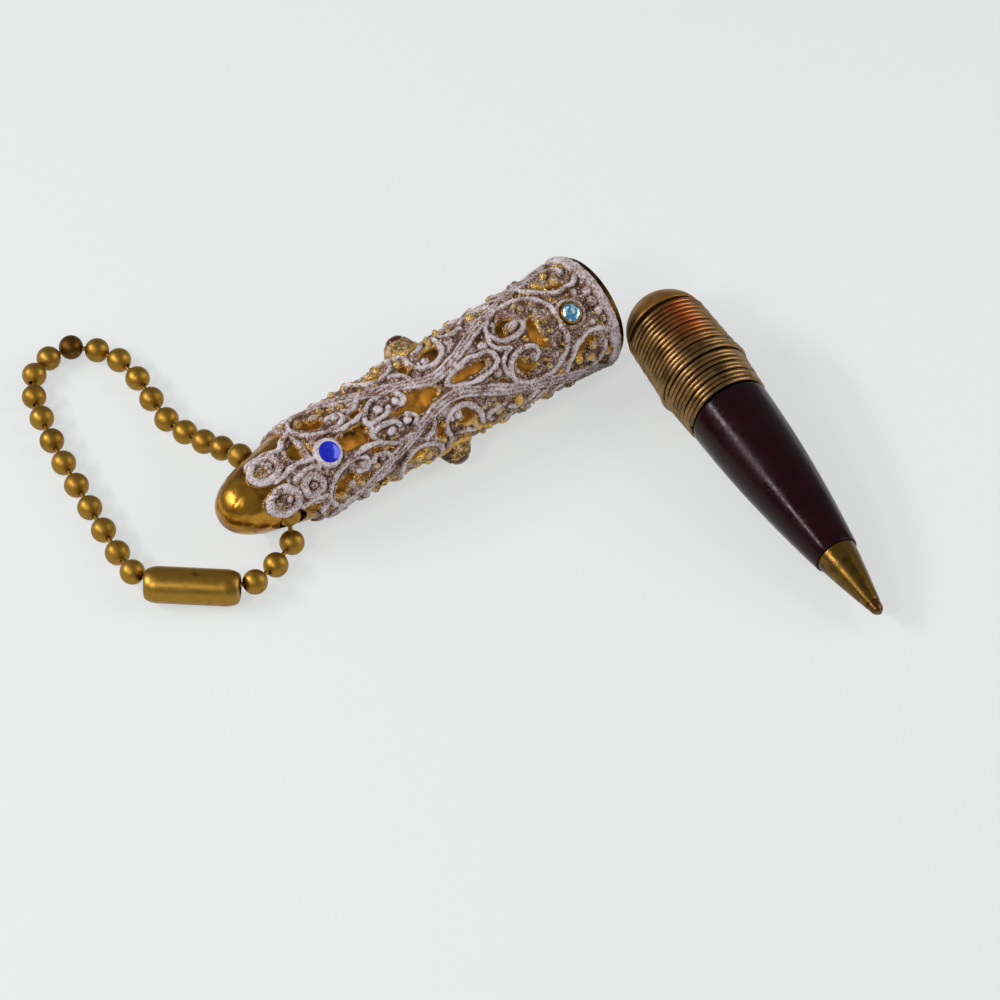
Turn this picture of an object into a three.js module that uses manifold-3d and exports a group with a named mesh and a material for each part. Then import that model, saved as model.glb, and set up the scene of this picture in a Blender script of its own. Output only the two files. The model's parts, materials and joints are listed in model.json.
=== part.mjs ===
// A pocket pen that is carried in a jewelled capsule on a ball chain.
// Millimetres, +Z up. The capsule lies on its side, the pen lies beside its mouth, and the chain is
// threaded through the capsule's dome. The frame's origin ends up under the middle of the whole set.

import * as THREE from 'three';
import { mergeVertices } from 'three/addons/utils/BufferGeometryUtils.js';
import Module from 'manifold-3d';

// Clearances
const SEAT_GAP = 0.3; // between pieces that touch on the real object
const RUN_GAP = 0.08; // round the rolling ball

// Capsule
const CAPSULE_LENGTH = 59.3; // mouth plane to the dome's apex
const SLEEVE_MOUTH_R = 7.8; // outside of the filigree at the mouth
const SLEEVE_END_R = 6.7; // outside of the filigree at the shoulder
const DOME_LENGTH = 11.4; // bare dome behind the filigree's shoulder
const SLEEVE_END = CAPSULE_LENGTH - DOME_LENGTH; // distance of the shoulder from the mouth
const FILIGREE_THICKNESS = 0.55;
const SHELL_WALL = 0.4;
const LIP_LENGTH = 0.7; // the bare lip of the shell in front of the filigree
const LIP_R = 7.2;
const NOSE_R = 3.5; // the dome's rounded nose
const NOSE_LENGTH = 6.5;
const NOSE_BLUNTNESS = 2.5;
const RIM_BAND_WIDTH = 1.4;
const COLLAR_WIDTH = 1.0;
const CHAIN_HOLE_R = 2.1;
const CHAIN_HOLE_BACK = 7.6; // distance from the dome's apex
const CHAIN_HOLE_AT = CAPSULE_LENGTH - CHAIN_HOLE_BACK; // distance from the mouth
const CHAIN_HOLE_RISE = 15; // degrees above level, on the far side

// Filigree: the pattern's middle line faces up and forward
const PATTERN_ELEVATION = 51; // degrees above level
const PATTERN_R = 7.2; // radius at which the strands have their true width
const STRAND_WIDTH = 0.78;
const STRAND_STEP = 2.7; // length of a strand's straight facets
const FACET_ERROR = 0.1; // allowed when facets are joined
const WRAP_STEP = 3.6; // longest facet edge when the flat pattern is wrapped round
const RIBBON_WIDTH = 1.45;
const KNOB_R = 0.62;
const KNOB_RISE = 0.3; // of a knob above the strands

// Stones
const BLUE_STONE_R = 1.4;
const BLUE_BACK = 3.2; // distance from the shoulder
const BLUE_AT = SLEEVE_END - BLUE_BACK; // distances from the mouth
const AQUA_STONE_R = 1.3;
const AQUA_AT = 6.2;
const GARNET_R = 1.25;
const GARNET_AT = 0.555 * SLEEVE_END;
const COLLET_WALL = 0.3;
const COLLET_RISE = 0.45; // of a collet above the filigree
const GARNET_RISE = 1.1;
const STONE_THICKNESS = 0.45;
const SEAT_RING_WIDTH = 0.55; // of the filigree ring round a collet

// Pen, measured from the writing tip
const PEN_LENGTH = 58.5;
const NUB_R = 0.85; // of the refill's tip
const NUB_LENGTH = 1.4;
const STEM_R = 0.45; // of the refill's tip inside the nose cone
const STEM_END = 10;
const CONE_FRONT = 1.8;
const CONE_FRONT_R = 1.05;
const CONE_LENGTH = 9.2;
const CONE_BASE_R = 2.8;
const BARREL_FRONT_R = 3.05;
const CAP_LENGTH = 5.1;
const SPIGOT_LENGTH = 16.7; // the stepped-down part that the coil is wound on
const SPIGOT_END = PEN_LENGTH - CAP_LENGTH;
const BARREL_REAR = SPIGOT_END - SPIGOT_LENGTH; // where the plastic steps down under the coil
const BARREL_REAR_R = 5.45;
const BARREL_BULGE = 0.42; // how far the barrel's side bows out of a straight taper
const SPIGOT_R = 4.25;
const CAP_R = 5.35;
const CAP_BLUNTNESS = 1.75;
const COLLAR_R = 2.3; // of the nose cone's screwed collar inside the barrel
const COLLAR_LENGTH = 4.5;
const INK_TUBE_R = 1.25;
const INK_BORE_R = 0.8;
const INK_TUBE_FROM = 7.2;
const INK_TUBE_SHORT = 6.4; // how far the ink tube ends before the spigot does
const INK_TUBE_END = SPIGOT_END - INK_TUBE_SHORT;
const CAP_PLUG_LENGTH = 3.5;
const BALL_R = 0.5; // of the rolling ball in the tip
const BALL_OUT = 0.28; // how far the ball stands out of its socket
const INK_CHANNEL_R = 0.2;

// Friction coil
const WIRE_DIAMETER = 0.64;
const COIL_TURNS = 15;
const COIL_FRONT_R = 5.62; // outer radii of the winding, from the barrel to the cap
const COIL_STEP_R = 6.36;
const COIL_WAIST_R = 6.0;
const COIL_REAR_R = 5.62;
const COIL_STEP_BACK = 10; // the fat turn's distance from the end of the spigot
const COIL_STEP_AT = SPIGOT_END - COIL_STEP_BACK; // and from the writing tip
const COIL_STEPS = 8;
const WIRE_SIDES = 5;

// Ball chain and its coupling
const BEAD_R = 1.6;
const BEAD_WALL = 0.3;
const BEAD_HOLE_R = 0.55;
const LINK_R = 0.25;
const LINK_HEAD_R = 0.58;
const LINK_REACH = 3.82; // bead centre to the head of its link
const COUPLING_LENGTH = 12.0;
const COUPLING_R = 2.33;
const COUPLING_WALL = 0.25;
const COUPLING_END_HOLE_R = 1.35;
const COUPLING_SHOULDER = 1.1; // length of its drawn-in ends
const COUPLING_SLOT = 0.8;
const COUPLING_SLOT_ANGLE = -55; // degrees above level, on the near side

// Where things lie
const PEN_AZIMUTH = 79.9; // degrees from +X, tip to cap
const PEN_STEP_PLACE = [4.1, -18.3]; // the coil's fat turn, seen from above
const COUPLING_PLACE = [-14.96, -3.9]; // from the chain holes
const COUPLING_AZIMUTH = -42.3;

// The chain's route: places from the chain holes along, across and above the table, with the beads from
// the last knot. The first and last two are places from the coupling's ends instead: out, aside and above.
const CHAIN_KNOTS = [
  { at: [-2.13, 0, 2.33], beads: 1, end: 1 },
  { at: [1.68, 1.31, 2.25], beads: 1, end: 1 },
  { at: [-0.4, -5.0, 1.6], beads: 2 },
  { at: [-0.1, -5.0, 5.3], beads: 1 },
  { at: [0.2, 2.9, 7.5], beads: 2 },
  { at: [0.4, 6.7, 7.3], beads: 1 },
  { at: [0.3, 14.5, 3.85], beads: 2 },
  { at: [0.2, 22.7, 1.6], beads: 2 },
  { at: [1.8, 35.5, 1.6], beads: 3 },
  { at: [-1.7, 41.4, 1.6], beads: 2 },
  { at: [-8.4, 40.1, 1.6], beads: 2 },
  { at: [-12.2, 32.9, 1.6], beads: 2 },
  { at: [-18.5, 7.2, 1.6], beads: 6 },
  { at: [1.72, 2.04, 2.25], beads: 1, end: -1 },
  { at: [-2.15, 0.01, 2.33], beads: 1, end: -1 },
];

// The filigree in one quarter of the sleeve: percent of the sleeve's length from the mouth, and degrees
// round from the middle line.
// The other quarters are its mirror images.
const SIDE = 91.5; // a strand that runs on over the side line ends here
const STRANDS = [
  [[5.4, 32], [9.6, 22.5], [14.2, 27], [17.5, 43], [19.2, 58], [20, 66]],
  [[17.5, 70], [11.3, 66], [7.7, 57], [7.5, 48], [9.6, 41]],
  [[18.6, 52], [16.5, 55], [14.4, 50]],
  [[16.5, 10], [18.6, 22], [20.5, 36], [25.7, 47], [31.7, 47], [36.3, 35], [37.6, 20], [35.5, 7],
    [31.3, 2.6], [27.3, 6], [27.1, 15]],
  [[53.9, -2], [50.5, 9], [44.9, 10], [40.3, 5], [35.9, 7]],
  [[20.9, 66], [24.6, 78], [24.2, SIDE]],
  [[30.1, 56], [36.3, 63], [43, 58], [49.1, 60]],
  [[36.3, 62], [38.8, 76], [38.8, SIDE]],
  [[52.2, 17], [49.9, 32], [49.1, 46], [49.1, 60], [51.4, 74]],
  [[59.7, 20], [59.9, 34], [58.9, 48], [58, 60], [59.3, 73], [62.4, 84]],
  [[59.7, 24], [57.2, 24], [55.7, 30]],
  [[62.8, SIDE], [61, 76], [63, 57], [68.9, 44.5], [73.7, 55], [74.9, 74], [74.3, SIDE]],
  [[74.3, 64], [71.8, 58], [68.9, 63]],
  [[69.5, 14], [68.1, 22], [72.2, 29.5], [77.7, 26], [80, 12], [78.3, 2], [75.6, 9]],
  [[79.3, 16], [83.5, 18], [88.5, 15]],
  [[84.8, 38], [85.6, 26], [89.8, 19.5], [93.9, 27], [95.6, 42], [95.6, 58], [93.1, 67], [91, 70]],
  [[76.4, 42], [79.7, 33], [81.2, 37]],
  [[82.7, 52], [85.6, 74], [85.2, SIDE]],
];
const RIBBONS = [
  [[54.7, -3], [50.5, 12], [42.8, 28], [35.5, 43], [27.1, 57], [18.8, 67], [10.4, 77], [7.5, SIDE]],
  [[53.9, -3], [59.1, 14], [64.7, 24], [71, 35], [79.3, 48], [87.7, 60], [93.1, 72], [94.8, SIDE]],
];
const KNOBS = [
  [8.1, 11], [9.6, 41], [14.4, 50], [29, 16], [40.1, 12], [36.3, 62], [43, 57], [55.7, 30],
  [69.7, 14], [75.4, 9], [81.2, 37], [84.8, 38], [68.7, 64], [72, 43],
];
const SIDE_KNOBS = [7.5, 24.2, 38.8, 63.5, 74.3, 85.2, 94.8];

// The ringed lobes behind the shoulder: share of the dome's length, degrees, and radius as such a share.
const LOBES = [[0.105, -25, 0.118], [0.412, -23, 0.1535], [0.421, 24, 0.1535]];
const LOBE_WIDTH = 0.95;
const LOBE_STRANDS = [
  [[0.36, 33], [0.132, 42], [-0.044, 45]],
  [[-0.044, 6], [0.132, 7], [0.325, 12]],
];

// Colours and finishes
const FINISHES = {
  polished_brass: { color: 0xb5831f, roughness: 0.22, metalness: 1 },
  white_wash: { color: 0xb9aeb2, roughness: 0.75, metalness: 0.1 },
  gilt: { color: 0xc08a2a, roughness: 0.35, metalness: 1 },
  blue_glass: { color: 0x1230c8, roughness: 0.1, metalness: 0 },
  aqua_glass: { color: 0x58b7dd, roughness: 0.05, metalness: 0 },
  garnet_glass: { color: 0x4a0a12, roughness: 0.08, metalness: 0 },
  aged_brass: { color: 0x7d6126, roughness: 0.38, metalness: 1 },
  bronze_wire: { color: 0x80592c, roughness: 0.3, metalness: 1 },
  maroon_plastic: { color: 0x240810, roughness: 0.18, metalness: 0 },
  ink_plastic: { color: 0x1c2230, roughness: 0.5, metalness: 0 },
  steel: { color: 0xa9abad, roughness: 0.15, metalness: 1 },
  chain_brass: { color: 0x8a6722, roughness: 0.42, metalness: 1 },
};

const wasm = await Module();
wasm.setup();

const radians = THREE.MathUtils.degToRad;
const lerp = THREE.MathUtils.lerp;

// Geometry helpers

// Merges shared vertices, drops flattened triangles and turns the surface outwards.
function closed(geometry) {
  const bare = geometry.index ? geometry.toNonIndexed() : geometry.clone();
  bare.deleteAttribute('normal');
  bare.deleteAttribute('uv');
  const merged = mergeVertices(bare, 1e-5);
  const index = merged.index.array;
  const position = merged.attributes.position;
  const kept = [];
  let volume = 0;
  const a = new THREE.Vector3();
  const b = new THREE.Vector3();
  const c = new THREE.Vector3();
  for (let i = 0; i < index.length; i += 3) {
    const [p, q, r] = [index[i], index[i + 1], index[i + 2]];
    if (p === q || q === r || r === p) continue;
    kept.push(p, q, r);
    a.fromBufferAttribute(position, p);
    b.fromBufferAttribute(position, q);
    c.fromBufferAttribute(position, r);
    volume += a.dot(b.cross(c));
  }
  if (volume < 0) kept.reverse();
  merged.setIndex(kept);
  return merged;
}

function toSolid(geometry) {
  const mesh = closed(geometry);
  return new wasm.Manifold(new wasm.Mesh({
    numProp: 3,
    vertProperties: new Float32Array(mesh.attributes.position.array),
    triVerts: new Uint32Array(mesh.index.array),
  }));
}

function toGeometry(solid) {
  const mesh = solid.getMesh();
  const geometry = new THREE.BufferGeometry();
  geometry.setAttribute('position', new THREE.BufferAttribute(new Float32Array(mesh.vertProperties), 3));
  geometry.setIndex(Array.from(mesh.triVerts));
  return geometry;
}

// Turns a profile of [radius, height] points about +Z.
function turned(profile, segments) {
  const points = profile.map(([radius, height]) => new THREE.Vector2(radius, height));
  return new THREE.LatheGeometry(points, segments).rotateX(Math.PI / 2);
}

// A turned ring or tube: the profile closes on itself.
function turnedRing(profile, segments) {
  return turned([...profile, profile[0]], segments);
}

// Lays a piece that was turned about +Z along -X, so that its height becomes distance from the mouth.
function alongCapsule(geometry) {
  return geometry.rotateY(-Math.PI / 2);
}

function spaced(count, shape) {
  return Array.from({ length: count + 1 }, (_, i) => shape(i / count));
}

function node(name, geometry, finish) {
  const shape = closed(geometry);
  shape.computeVertexNormals();
  const material = new THREE.MeshStandardMaterial({ ...FINISHES[finish], flatShading: true });
  const mesh = new THREE.Mesh(shape, material);
  mesh.name = name;
  return mesh;
}

// Capsule shapes, by distance from the mouth

const filigreeDepth = FILIGREE_THICKNESS + SEAT_GAP;

function sleeveRadius(distance) {
  return lerp(SLEEVE_MOUTH_R, SLEEVE_END_R, distance / SLEEVE_END);
}

// The shell is a straight taper under the sleeve, then a flared dome with a blunt nose.
function shellRadius(distance) {
  if (distance <= SLEEVE_END) return sleeveRadius(distance) - filigreeDepth;
  const fromApex = Math.max(CAPSULE_LENGTH - distance, 0);
  const flare = (SLEEVE_END_R - filigreeDepth - NOSE_R) / DOME_LENGTH;
  const along = Math.min(fromApex / NOSE_LENGTH, 1);
  const round = Math.pow(1 - Math.pow(1 - along, NOSE_BLUNTNESS), 1 / NOSE_BLUNTNESS);
  return NOSE_R * round + flare * fromApex;
}

const domeStations = [0.3, 0.6, 0.8, 0.92, 0.98];

function capsuleShell() {
  const dome = (share) => lerp(SLEEVE_END, CAPSULE_LENGTH, share);
  const boreEnd = CAPSULE_LENGTH - 2 * SHELL_WALL;
  const outside = [
    [LIP_R, 0],
    [LIP_R, LIP_LENGTH],
    [shellRadius(LIP_LENGTH), LIP_LENGTH],
    [shellRadius(SLEEVE_END), SLEEVE_END],
    ...domeStations.map((share) => [shellRadius(dome(share)), dome(share)]),
    [0, CAPSULE_LENGTH],
  ];
  const inside = domeStations.slice(0, 4).reverse().map((share) => {
    const distance = lerp(SLEEVE_END, boreEnd, share);
    return [shellRadius(distance) - SHELL_WALL, distance];
  });
  const profile = [
    ...outside,
    [0, boreEnd],
    ...inside,
    [shellRadius(SLEEVE_END) - SHELL_WALL, SLEEVE_END],
    [shellRadius(0) - SHELL_WALL, 0],
  ];
  const shell = toSolid(alongCapsule(turnedRing(profile, 28)));
  const drill = new THREE.CylinderGeometry(CHAIN_HOLE_R, CHAIN_HOLE_R, 4 * SLEEVE_END_R, 16);
  drill.rotateX(radians(CHAIN_HOLE_RISE)).translate(-CHAIN_HOLE_AT, 0, 0);
  return toGeometry(shell.subtract(toSolid(drill)));
}

// A plain hoop of the sleeve between two distances from the mouth.
function hoop(from, to) {
  return alongCapsule(turnedRing([
    [shellRadius(from) + SEAT_GAP, from],
    [sleeveRadius(from), from],
    [sleeveRadius(to), to],
    [shellRadius(to) + SEAT_GAP, to],
  ], 32));
}

const rimBandFrom = LIP_LENGTH + SEAT_GAP;
const rimBandTo = rimBandFrom + RIM_BAND_WIDTH;
const collarFrom = SLEEVE_END - COLLAR_WIDTH;

// Filigree: strands are drawn flat, joined, and then wrapped round the shell

const across = (degrees) => -radians(degrees) * PATTERN_R;

// Wraps a point of the flat pattern, x along the capsule and z out of it, round the shell.
function wrap(point) {
  const distance = point[0];
  const angle = -point[1] / PATTERN_R;
  const radius = shellRadius(distance) + SEAT_GAP + point[2];
  const side = radians(PATTERN_ELEVATION);
  point[0] = -distance;
  point[1] = radius * (-Math.cos(angle) * Math.cos(side) + Math.sin(angle) * Math.sin(side));
  point[2] = radius * (Math.cos(angle) * Math.sin(side) + Math.sin(angle) * Math.cos(side));
}

// The frame whose +Z points out of the sleeve at a place of the pattern.
function outwardFrame(distance, degrees) {
  const out = radians(180 - PATTERN_ELEVATION) - radians(degrees);
  const frame = new THREE.Matrix4().makeRotationX(out - Math.PI / 2);
  return frame.setPosition(-distance, 0, 0);
}

const onSleeve = (percent) => percent / 100 * SLEEVE_END;
const onDome = (share) => SLEEVE_END + share * DOME_LENGTH;

// A flat strand of even width through hand-placed points.
function strand(points, width, mirror, place) {
  const path = points.map(([at, degrees]) => new THREE.Vector3(place(at), mirror * across(degrees), 0));
  const curve = new THREE.CatmullRomCurve3(path);
  const steps = Math.max(3, Math.round(curve.getLength() / STRAND_STEP));
  const left = [];
  const right = [];
  for (let i = 0; i <= steps; i++) {
    const place = curve.getPointAt(i / steps);
    const along = curve.getTangentAt(i / steps);
    left.push(new THREE.Vector2(place.x - along.y * width / 2, place.y + along.x * width / 2));
    right.unshift(new THREE.Vector2(place.x + along.y * width / 2, place.y - along.x * width / 2));
  }
  return flatShape(new THREE.Shape([...left, ...right]));
}

function flatShape(shape) {
  const depth = FILIGREE_THICKNESS;
  return toSolid(new THREE.ExtrudeGeometry(shape, { depth, bevelEnabled: false, steps: 1 }));
}

// A flat ring; stretch widens it across, for places where the shell is slimmer than PATTERN_R.
function flatRing(distance, degrees, radius, width, stretch = 1) {
  const ellipse = (r) => spaced(11, (share) => share * 2 * Math.PI * 11 / 12).map((turn) => (
    new THREE.Vector2(distance + r * Math.cos(turn), across(degrees) + stretch * r * Math.sin(turn))));
  const shape = new THREE.Shape(ellipse(radius + width / 2));
  if (radius > width / 2) shape.holes.push(new THREE.Path(ellipse(radius - width / 2)));
  return flatShape(shape);
}

function flatDisc(distance, degrees, radius, stretch = 1) {
  return flatRing(distance, degrees, radius / 2, radius, stretch);
}

// A knob that stands out of the filigree.
function flatKnob(distance, degrees) {
  const top = FILIGREE_THICKNESS + KNOB_RISE;
  const knob = turned([[0, 0], [KNOB_R, 0], [KNOB_R, top - 0.3], [0, top]], 5);
  return toSolid(knob.translate(distance, across(degrees), 0));
}

// The opening that a collet sits in.
function colletHole(distance, degrees, radius) {
  const drill = turned([[0, 0], [radius, 0], [radius, 2 * SLEEVE_MOUTH_R], [0, 2 * SLEEVE_MOUTH_R]], 11);
  return toSolid(drill.applyMatrix4(outwardFrame(distance, degrees)));
}

const stoneSeat = (stoneR) => stoneR + COLLET_WALL + SEAT_GAP + 0.15;

function filigreeSleeve() {
  const flat = [];
  for (const mirror of [1, -1]) {
    for (const points of STRANDS) flat.push(strand(points, STRAND_WIDTH, mirror, onSleeve));
    for (const points of RIBBONS) flat.push(strand(points, RIBBON_WIDTH, mirror, onSleeve));
    for (const [at, degrees] of KNOBS) flat.push(flatKnob(onSleeve(at), mirror * degrees));
  }
  for (const at of SIDE_KNOBS) flat.push(flatKnob(onSleeve(at), 90));
  for (const [distance, stoneR] of [[AQUA_AT, AQUA_STONE_R], [BLUE_AT, BLUE_STONE_R]]) {
    flat.push(flatRing(distance, 0, stoneSeat(stoneR) + SEAT_RING_WIDTH / 2, SEAT_RING_WIDTH));
  }
  const sheet = wasm.Manifold.union(flat).simplify(FACET_ERROR).refineToLength(WRAP_STEP);
  const front = sheet.warp(wrap).simplify(FACET_ERROR);
  let sleeve = wasm.Manifold.union([front, front.rotate([180, 0, 0]), garnetRing(90), garnetRing(-90)]);
  for (const half of [0, 180]) {
    sleeve = sleeve.subtract(colletHole(AQUA_AT, half, stoneSeat(AQUA_STONE_R)));
    sleeve = sleeve.subtract(colletHole(BLUE_AT, half, stoneSeat(BLUE_STONE_R)));
    sleeve = sleeve.subtract(colletHole(GARNET_AT, half + 90, stoneSeat(GARNET_R)));
  }
  const pieces = sleeve.intersect(betweenHoops()).simplify(FACET_ERROR).decompose();
  pieces.sort((a, b) => b.volume() - a.volume());
  console.log('filigree sleeve: pieces', pieces.length, 'triangles', pieces[0].numTri());
  return toGeometry(pieces[0]);
}

// The room between the two hoops, flush with them underneath, where the capsule lies on the table.
function betweenHoops() {
  const from = rimBandTo + SEAT_GAP;
  const to = collarFrom - SEAT_GAP;
  const shape = new THREE.Shape([
    new THREE.Vector2(-from, 2 * SLEEVE_MOUTH_R),
    new THREE.Vector2(-to, 2 * SLEEVE_MOUTH_R),
    new THREE.Vector2(-to, 0.03 - sleeveRadius(to)),
    new THREE.Vector2(-from, 0.03 - sleeveRadius(from)),
  ]);
  const depth = 4 * SLEEVE_MOUTH_R;
  const block = new THREE.ExtrudeGeometry(shape, { depth, bevelEnabled: false, steps: 1 });
  return toSolid(block.translate(0, 0, -depth / 2).rotateX(Math.PI / 2));
}

// The raised ring that carries a garnet's cup, on the side line.
function garnetRing(degrees) {
  const inner = stoneSeat(GARNET_R) - 0.05;
  const outer = stoneSeat(GARNET_R) + SEAT_RING_WIDTH;
  const foot = shellRadius(GARNET_AT) + SEAT_GAP;
  const top = foot + FILIGREE_THICKNESS + KNOB_RISE;
  const ring = turnedRing([[inner, foot], [outer, foot], [outer, top - 0.2], [inner, top]], 11);
  return toSolid(ring.applyMatrix4(outwardFrame(GARNET_AT, degrees)));
}

// The sleeve's rear hoop with the ringed lobes that lie over the shell's shoulder.
function shoulderCollar() {
  const flat = LOBES.flatMap(([share, degrees, size]) => {
    const distance = onDome(share);
    const radius = size * DOME_LENGTH;
    const stretch = PATTERN_R / (shellRadius(distance) + SEAT_GAP + FILIGREE_THICKNESS / 2);
    const inside = radius - LOBE_WIDTH / 2;
    const ball = 0.55 * inside;
    return [
      flatRing(distance, degrees, radius, LOBE_WIDTH, stretch),
      flatDisc(distance - inside + 0.9 * ball, degrees, ball, stretch),
    ];
  });
  for (const points of LOBE_STRANDS) flat.push(strand(points, STRAND_WIDTH, 1, onDome));
  const sheet = wasm.Manifold.union(flat).simplify(FACET_ERROR).refineToLength(0.6 * WRAP_STEP);
  const front = sheet.warp(wrap).simplify(FACET_ERROR);
  const lobes = wasm.Manifold.union([front, front.rotate([180, 0, 0])]);
  const room = 3 * SLEEVE_MOUTH_R;
  const slab = new THREE.BoxGeometry(room, room, room).translate(-collarFrom - SEAT_GAP - room / 2, 0, 0);
  const collar = lobes.intersect(toSolid(slab)).add(toSolid(hoop(collarFrom, SLEEVE_END)));
  console.log('shoulder collar: pieces', collar.decompose().length, 'triangles', collar.numTri());
  return toGeometry(collar);
}

// Stones and their collets

// A collet is a turned cup that stands on the shell, open outwards and slit-free.
function collet(distance, degrees, stoneR, rise) {
  const outer = stoneR + COLLET_WALL;
  const skin = shellRadius(distance);
  const foot = skin + SEAT_GAP;
  const top = foot + FILIGREE_THICKNESS + rise;
  const floor = top - STONE_THICKNESS - SEAT_GAP;
  const inner = stoneR + 0.12;
  const cup = [[0, foot], [outer, foot], [outer, top - 0.12], [inner, top], [inner, floor], [0, floor]];
  return turned(cup, 14).applyMatrix4(outwardFrame(distance, degrees));
}

// A round stone: a flat table, a crown and a shallow pavilion, or a smooth cabochon.
function stone(distance, degrees, stoneR, rise, smooth) {
  const top = shellRadius(distance) + SEAT_GAP + FILIGREE_THICKNESS + rise;
  const base = top - STONE_THICKNESS;
  const crown = smooth
    ? [[0.8 * stoneR, top + 0.12], [0.45 * stoneR, top + 0.3], [0, top + 0.36]]
    : [[0.62 * stoneR, top + 0.22], [0, top + 0.22]];
  const profile = [[0, base], [0.55 * stoneR, base], [stoneR, top - 0.15], ...crown];
  return turned(profile, 12).applyMatrix4(outwardFrame(distance, degrees));
}

function addStones(capsule) {
  const settings = [
    ['blue', BLUE_AT, 0, BLUE_STONE_R, COLLET_RISE, 'blue_glass', 'white_wash', true],
    ['aqua', AQUA_AT, 0, AQUA_STONE_R, COLLET_RISE, 'aqua_glass', 'gilt', false],
    ['garnet', GARNET_AT, 90, GARNET_R, GARNET_RISE, 'garnet_glass', 'gilt', true],
  ];
  for (const [name, distance, degrees, stoneR, rise, glass, metal, smooth] of settings) {
    ['front', 'back'].forEach((side, i) => {
      const place = degrees + 180 * i;
      capsule.add(node(`${name}_collet_${side}`, collet(distance, place, stoneR, rise), metal));
      capsule.add(node(`${name}_stone_${side}`, stone(distance, place, stoneR, rise, smooth), glass));
    });
  }
}

// Pen pieces, turned about +Z with the writing tip at the origin

function barrelRadius(distance) {
  const share = (distance - CONE_LENGTH - SEAT_GAP) / (BARREL_REAR - CONE_LENGTH - SEAT_GAP);
  return lerp(BARREL_FRONT_R, BARREL_REAR_R, share) + BARREL_BULGE * 4 * share * (1 - share);
}

function barrel() {
  const front = CONE_LENGTH + SEAT_GAP;
  const boreR = INK_TUBE_R + SEAT_GAP;
  const counterboreR = COLLAR_R + SEAT_GAP;
  const counterboreEnd = CONE_LENGTH + COLLAR_LENGTH + SEAT_GAP;
  return turnedRing([
    [counterboreR, front],
    ...spaced(7, (share) => lerp(front, BARREL_REAR, share)).map((at) => [barrelRadius(at), at]),
    [SPIGOT_R, BARREL_REAR],
    [SPIGOT_R, SPIGOT_END],
    [boreR, SPIGOT_END],
    [boreR, counterboreEnd],
    [counterboreR, counterboreEnd],
  ], 24);
}

function endCap() {
  const base = SPIGOT_END + SEAT_GAP;
  const height = PEN_LENGTH - base;
  const dome = spaced(6, (share) => share * Math.PI / 2).slice(0, -1).map((turn) => [
    CAP_R * Math.pow(Math.cos(turn), 2 / CAP_BLUNTNESS),
    base + height * Math.pow(Math.sin(turn), 2 / CAP_BLUNTNESS),
  ]);
  return turned([
    [0, base - CAP_PLUG_LENGTH],
    [INK_TUBE_R, base - CAP_PLUG_LENGTH],
    [INK_TUBE_R, base],
    ...dome,
    [0, PEN_LENGTH],
  ], 24);
}

// The outer radius of the winding along the pen.
function coilRadius(distance) {
  const stations = [[BARREL_REAR, COIL_FRONT_R], [COIL_STEP_AT, COIL_STEP_R],
    [COIL_STEP_AT + 1.4, COIL_WAIST_R], [SPIGOT_END, COIL_REAR_R]];
  const i = Math.max(1, stations.findIndex(([at]) => distance <= at));
  const [[from, a], [to, b]] = [stations[i - 1], stations[i]];
  return lerp(a, b, (distance - from) / (to - from));
}

// One unbroken wire: a helix whose two ends turn in and run straight at the spigot.
function coilPath() {
  const first = BARREL_REAR + SEAT_GAP + WIRE_DIAMETER / 2;
  const last = SPIGOT_END - WIRE_DIAMETER / 2;
  const steps = COIL_TURNS * COIL_STEPS;
  const place = (distance, turn, radius) => new THREE.Vector3(
    radius * Math.cos(turn), radius * Math.sin(turn), distance);
  const helix = spaced(steps, (share) => {
    const distance = lerp(first, last, share);
    const turn = share * steps * 2 * Math.PI / COIL_STEPS;
    return place(distance, turn, coilRadius(distance) - WIRE_DIAMETER / 2);
  });
  const inner = SPIGOT_R + SEAT_GAP;
  return [place(first, 0, inner), ...helix, place(last, 0, inner)];
}

function leastCoilGap(path) {
  let least = Infinity;
  for (let i = 0; i < path.length; i++) {
    for (let j = i + COIL_STEPS / 2; j < path.length; j++) {
      least = Math.min(least, path[i].distanceTo(path[j]));
    }
  }
  return least - WIRE_DIAMETER;
}

// A tube through points, with a ring of corners square to the path at each of them.
function wire(path, radius, sides) {
  const axis = new THREE.Vector3(0, 0, 1);
  const rings = path.map((point, i) => {
    const ahead = path[Math.min(i + 1, path.length - 1)];
    const behind = path[Math.max(i - 1, 0)];
    const along = ahead.clone().sub(behind).normalize();
    const side = axis.clone().cross(along).normalize();
    const rise = along.clone().cross(side);
    return Array.from({ length: sides }, (_, k) => {
      const turn = k * 2 * Math.PI / sides;
      const corner = point.clone().addScaledVector(side, radius * Math.cos(turn));
      return corner.addScaledVector(rise, radius * Math.sin(turn));
    });
  });
  const corners = rings.flat();
  const index = [];
  for (let i = 0; i + 1 < rings.length; i++) {
    for (let k = 0; k < sides; k++) {
      const [a, b] = [i * sides + k, i * sides + (k + 1) % sides];
      index.push(a, b, b + sides, a, b + sides, a + sides);
    }
  }
  const start = corners.push(path[0]) - 1;
  const end = corners.push(path[path.length - 1]) - 1;
  const lastRing = (rings.length - 1) * sides;
  for (let k = 0; k < sides; k++) {
    index.push(start, (k + 1) % sides, k, end, lastRing + k, lastRing + (k + 1) % sides);
  }
  const geometry = new THREE.BufferGeometry().setFromPoints(corners);
  geometry.setIndex(index);
  return geometry;
}

function gripCoil() {
  const path = coilPath();
  console.log('grip coil: turns', COIL_TURNS, 'least gap to itself', leastCoilGap(path).toFixed(3), 'mm');
  return wire(path, WIRE_DIAMETER / 2, WIRE_SIDES);
}

const ballAt = BALL_R - 0.02; // ball centre from the very tip
const socketFace = BALL_OUT - 0.02;

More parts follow.
